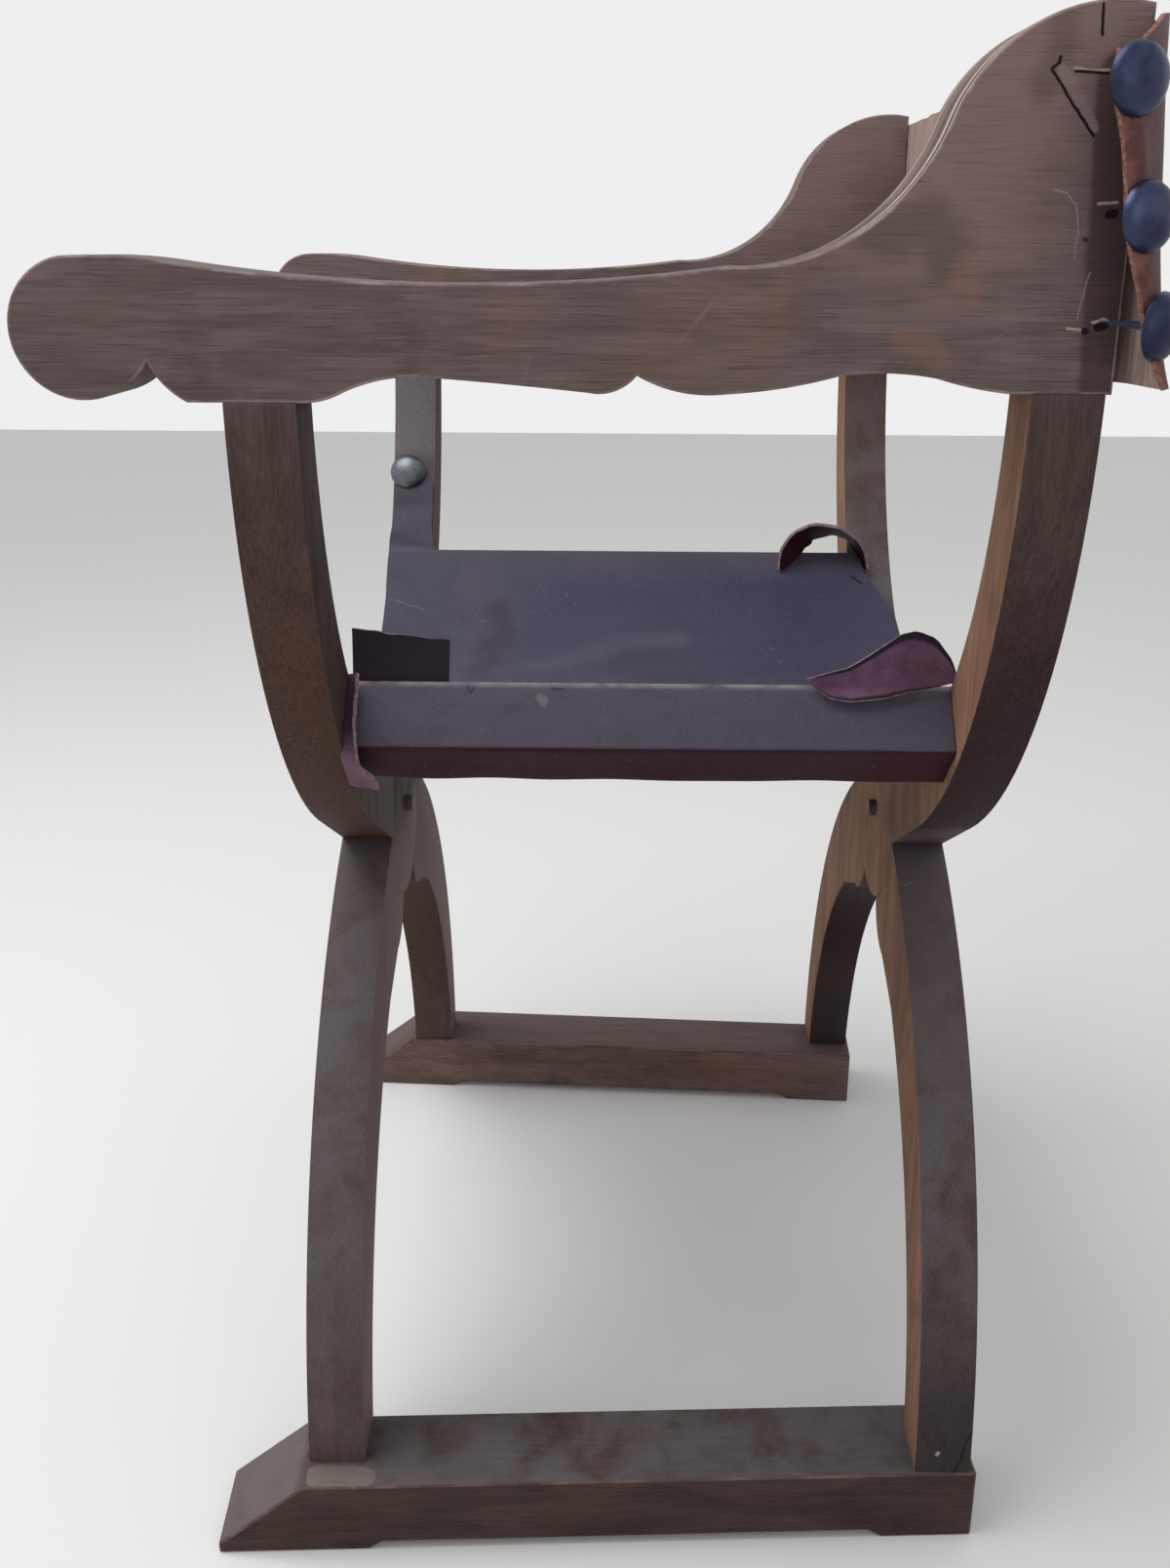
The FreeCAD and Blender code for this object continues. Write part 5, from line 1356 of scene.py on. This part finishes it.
class CHAIR_OT_fittings(bpy.types.Operator):
    """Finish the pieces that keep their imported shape: the pivot pins and the tenons."""

    bl_idname = "chair.fittings"
    bl_label = "Pins and tenons"

    def execute(self, context):
        looks = finishes()
        for node in ("front_pivot_pin", "rear_pivot_pin"):
            dressed(node, looks["iron"])
        for joint in ("arm", "foot", "rail"):
            for side in ("left", "right"):
                dressed(f"{side}_{joint}_tenons", looks["tenon"])
        return {"FINISHED"}


class CHAIR_OT_stage(bpy.types.Operator):
    """Set the camera at the photographed angle, the pale floor and the soft light."""

    bl_idname = "chair.stage"
    bl_label = "Camera, floor and light"

    def execute(self, context):
        scene = context.scene
        sizes = scene.chair_stage
        camera = bpy.data.objects.new("photo_camera", bpy.data.cameras.new("photo_camera"))
        camera.data.sensor_fit = "AUTO"
        camera.data.sensor_width = 36
        camera.data.lens = sizes.lens
        camera.data.clip_start = 0.05
        pitch, yaw, roll = (math.radians(angle) for angle in CAMERA_TURN)
        level = math.cos(pitch)
        forward = Vector((-level * math.cos(yaw), level * math.sin(yaw), -math.sin(pitch)))
        right = forward.cross(Vector((0, 0, 1))).normalized()
        upward = right.cross(forward)
        turned = Matrix((right * math.cos(roll) + upward * math.sin(roll),
                         upward * math.cos(roll) - right * math.sin(roll), -forward)).transposed()
        camera.matrix_world = Matrix.Translation(CAMERA_PLACE) @ turned.to_4x4()
        scene.collection.objects.link(camera)
        scene.camera = camera

        floor_mesh = bpy.data.meshes.new("floor")
        reach = np.array([[-6, -6, 0], [6, -6, 0], [6, 6, 0], [-6, 6, 0]], float)
        floor_mesh.from_pydata(reach.tolist(), [], [[0, 1, 2, 3]])
        floor = bpy.data.objects.new("floor", floor_mesh)
        scene.collection.objects.link(floor)
        pale = bpy.data.materials.new("pale_floor")
        pale.use_nodes = True
        surface = pale.node_tree.nodes["Principled BSDF"]
        surface.inputs["Base Color"].default_value = (0.8, 0.8, 0.79, 1)
        surface.inputs["Roughness"].default_value = 0.9
        floor_mesh.materials.append(pale)

        for name, place, size, power in (("key", (0.1, -0.9, 2.3), 1.6, sizes.key_power),
                                         ("fill", (2.4, 0.6, 1.3), 1.8, sizes.fill_power)):
            lamp = bpy.data.lights.new(name, "AREA")
            lamp.shape = "DISK"
            lamp.size = size
            lamp.energy = power
            thing = bpy.data.objects.new(name, lamp)
            thing.matrix_world = Matrix.Translation(place) @ (
                Vector(place) - Vector((0, 0, 0.45))).to_track_quat("Z", "Y").to_matrix().to_4x4()
            scene.collection.objects.link(thing)

        world = bpy.data.worlds.new("surround")
        world.use_nodes = True
        tree = world.node_tree
        tree.nodes.clear()
        # Camera, transmission and glossy rays see a grey surround; the other rays get its even light.
        ray = tree.nodes.new("ShaderNodeLightPath")
        seen = ray.outputs["Is Camera Ray"]
        for kind in ("Is Transmission Ray", "Is Glossy Ray"):
            either = tree.nodes.new("ShaderNodeMath")
            either.operation = "MAXIMUM"
            tree.links.new(seen, either.inputs[0])
            tree.links.new(ray.outputs[kind], either.inputs[1])
            seen = either.outputs[0]
        mixed = tree.nodes.new("ShaderNodeMixShader")
        tree.links.new(seen, mixed.inputs[0])
        for number, grey, strength in ((1, 1.0, sizes.sky), (2, 0.86, 1.0)):
            light = tree.nodes.new("ShaderNodeBackground")
            light.inputs[0].default_value = (grey, grey, grey, 1)
            light.inputs[1].default_value = strength
            tree.links.new(light.outputs[0], mixed.inputs[number])
        end = tree.nodes.new("ShaderNodeOutputWorld")
        tree.links.new(mixed.outputs[0], end.inputs[0])
        scene.world = world
        scene.view_settings.view_transform = "Standard"
        return {"FINISHED"}


class CHAIR_PT_panel(bpy.types.Panel):
    """Shows the chair's settings and the buttons of its steps in the 3D view's sidebar."""

    bl_label = "Folding armchair"
    bl_idname = "CHAIR_PT_panel"
    bl_space_type = "VIEW_3D"
    bl_region_type = "UI"
    bl_category = "Chair"

    def draw(self, context):
        layout = self.layout
        for group in (context.scene.chair_sizes, context.scene.chair_colours, context.scene.chair_stage):
            for name in group.__annotations__:
                layout.prop(group, name)
        for step in STEPS:
            layout.operator(step.bl_idname)


STEPS = (CHAIR_OT_arms, CHAIR_OT_legs, CHAIR_OT_rails, CHAIR_OT_seat, CHAIR_OT_back, CHAIR_OT_nails,
         CHAIR_OT_fittings, CHAIR_OT_stage)
GROUPS = {"chair_sizes": ChairSizes, "chair_colours": ChairColours, "chair_stage": ChairStage}


def register():
    """Add the chair's settings, operators and panel."""
    for kind in (*GROUPS.values(), *STEPS, CHAIR_PT_panel):
        bpy.utils.register_class(kind)
    for name, kind in GROUPS.items():
        setattr(bpy.types.Scene, name, bpy.props.PointerProperty(type=kind))


def unregister():
    """Take the chair's settings, operators and panel away."""
    for name in GROUPS:
        delattr(bpy.types.Scene, name)
    for kind in (CHAIR_PT_panel, *reversed(STEPS), *reversed(GROUPS.values())):
        bpy.utils.unregister_class(kind)


def main():
    """Dress the chair piece by piece."""
    register()
    bpy.ops.chair.arms()
    bpy.ops.chair.legs()
    bpy.ops.chair.rails()
    bpy.ops.chair.seat()
    bpy.ops.chair.back()
    bpy.ops.chair.nails()
    bpy.ops.chair.fittings()
    bpy.ops.chair.stage()


if __name__ == "__main__":
    main()
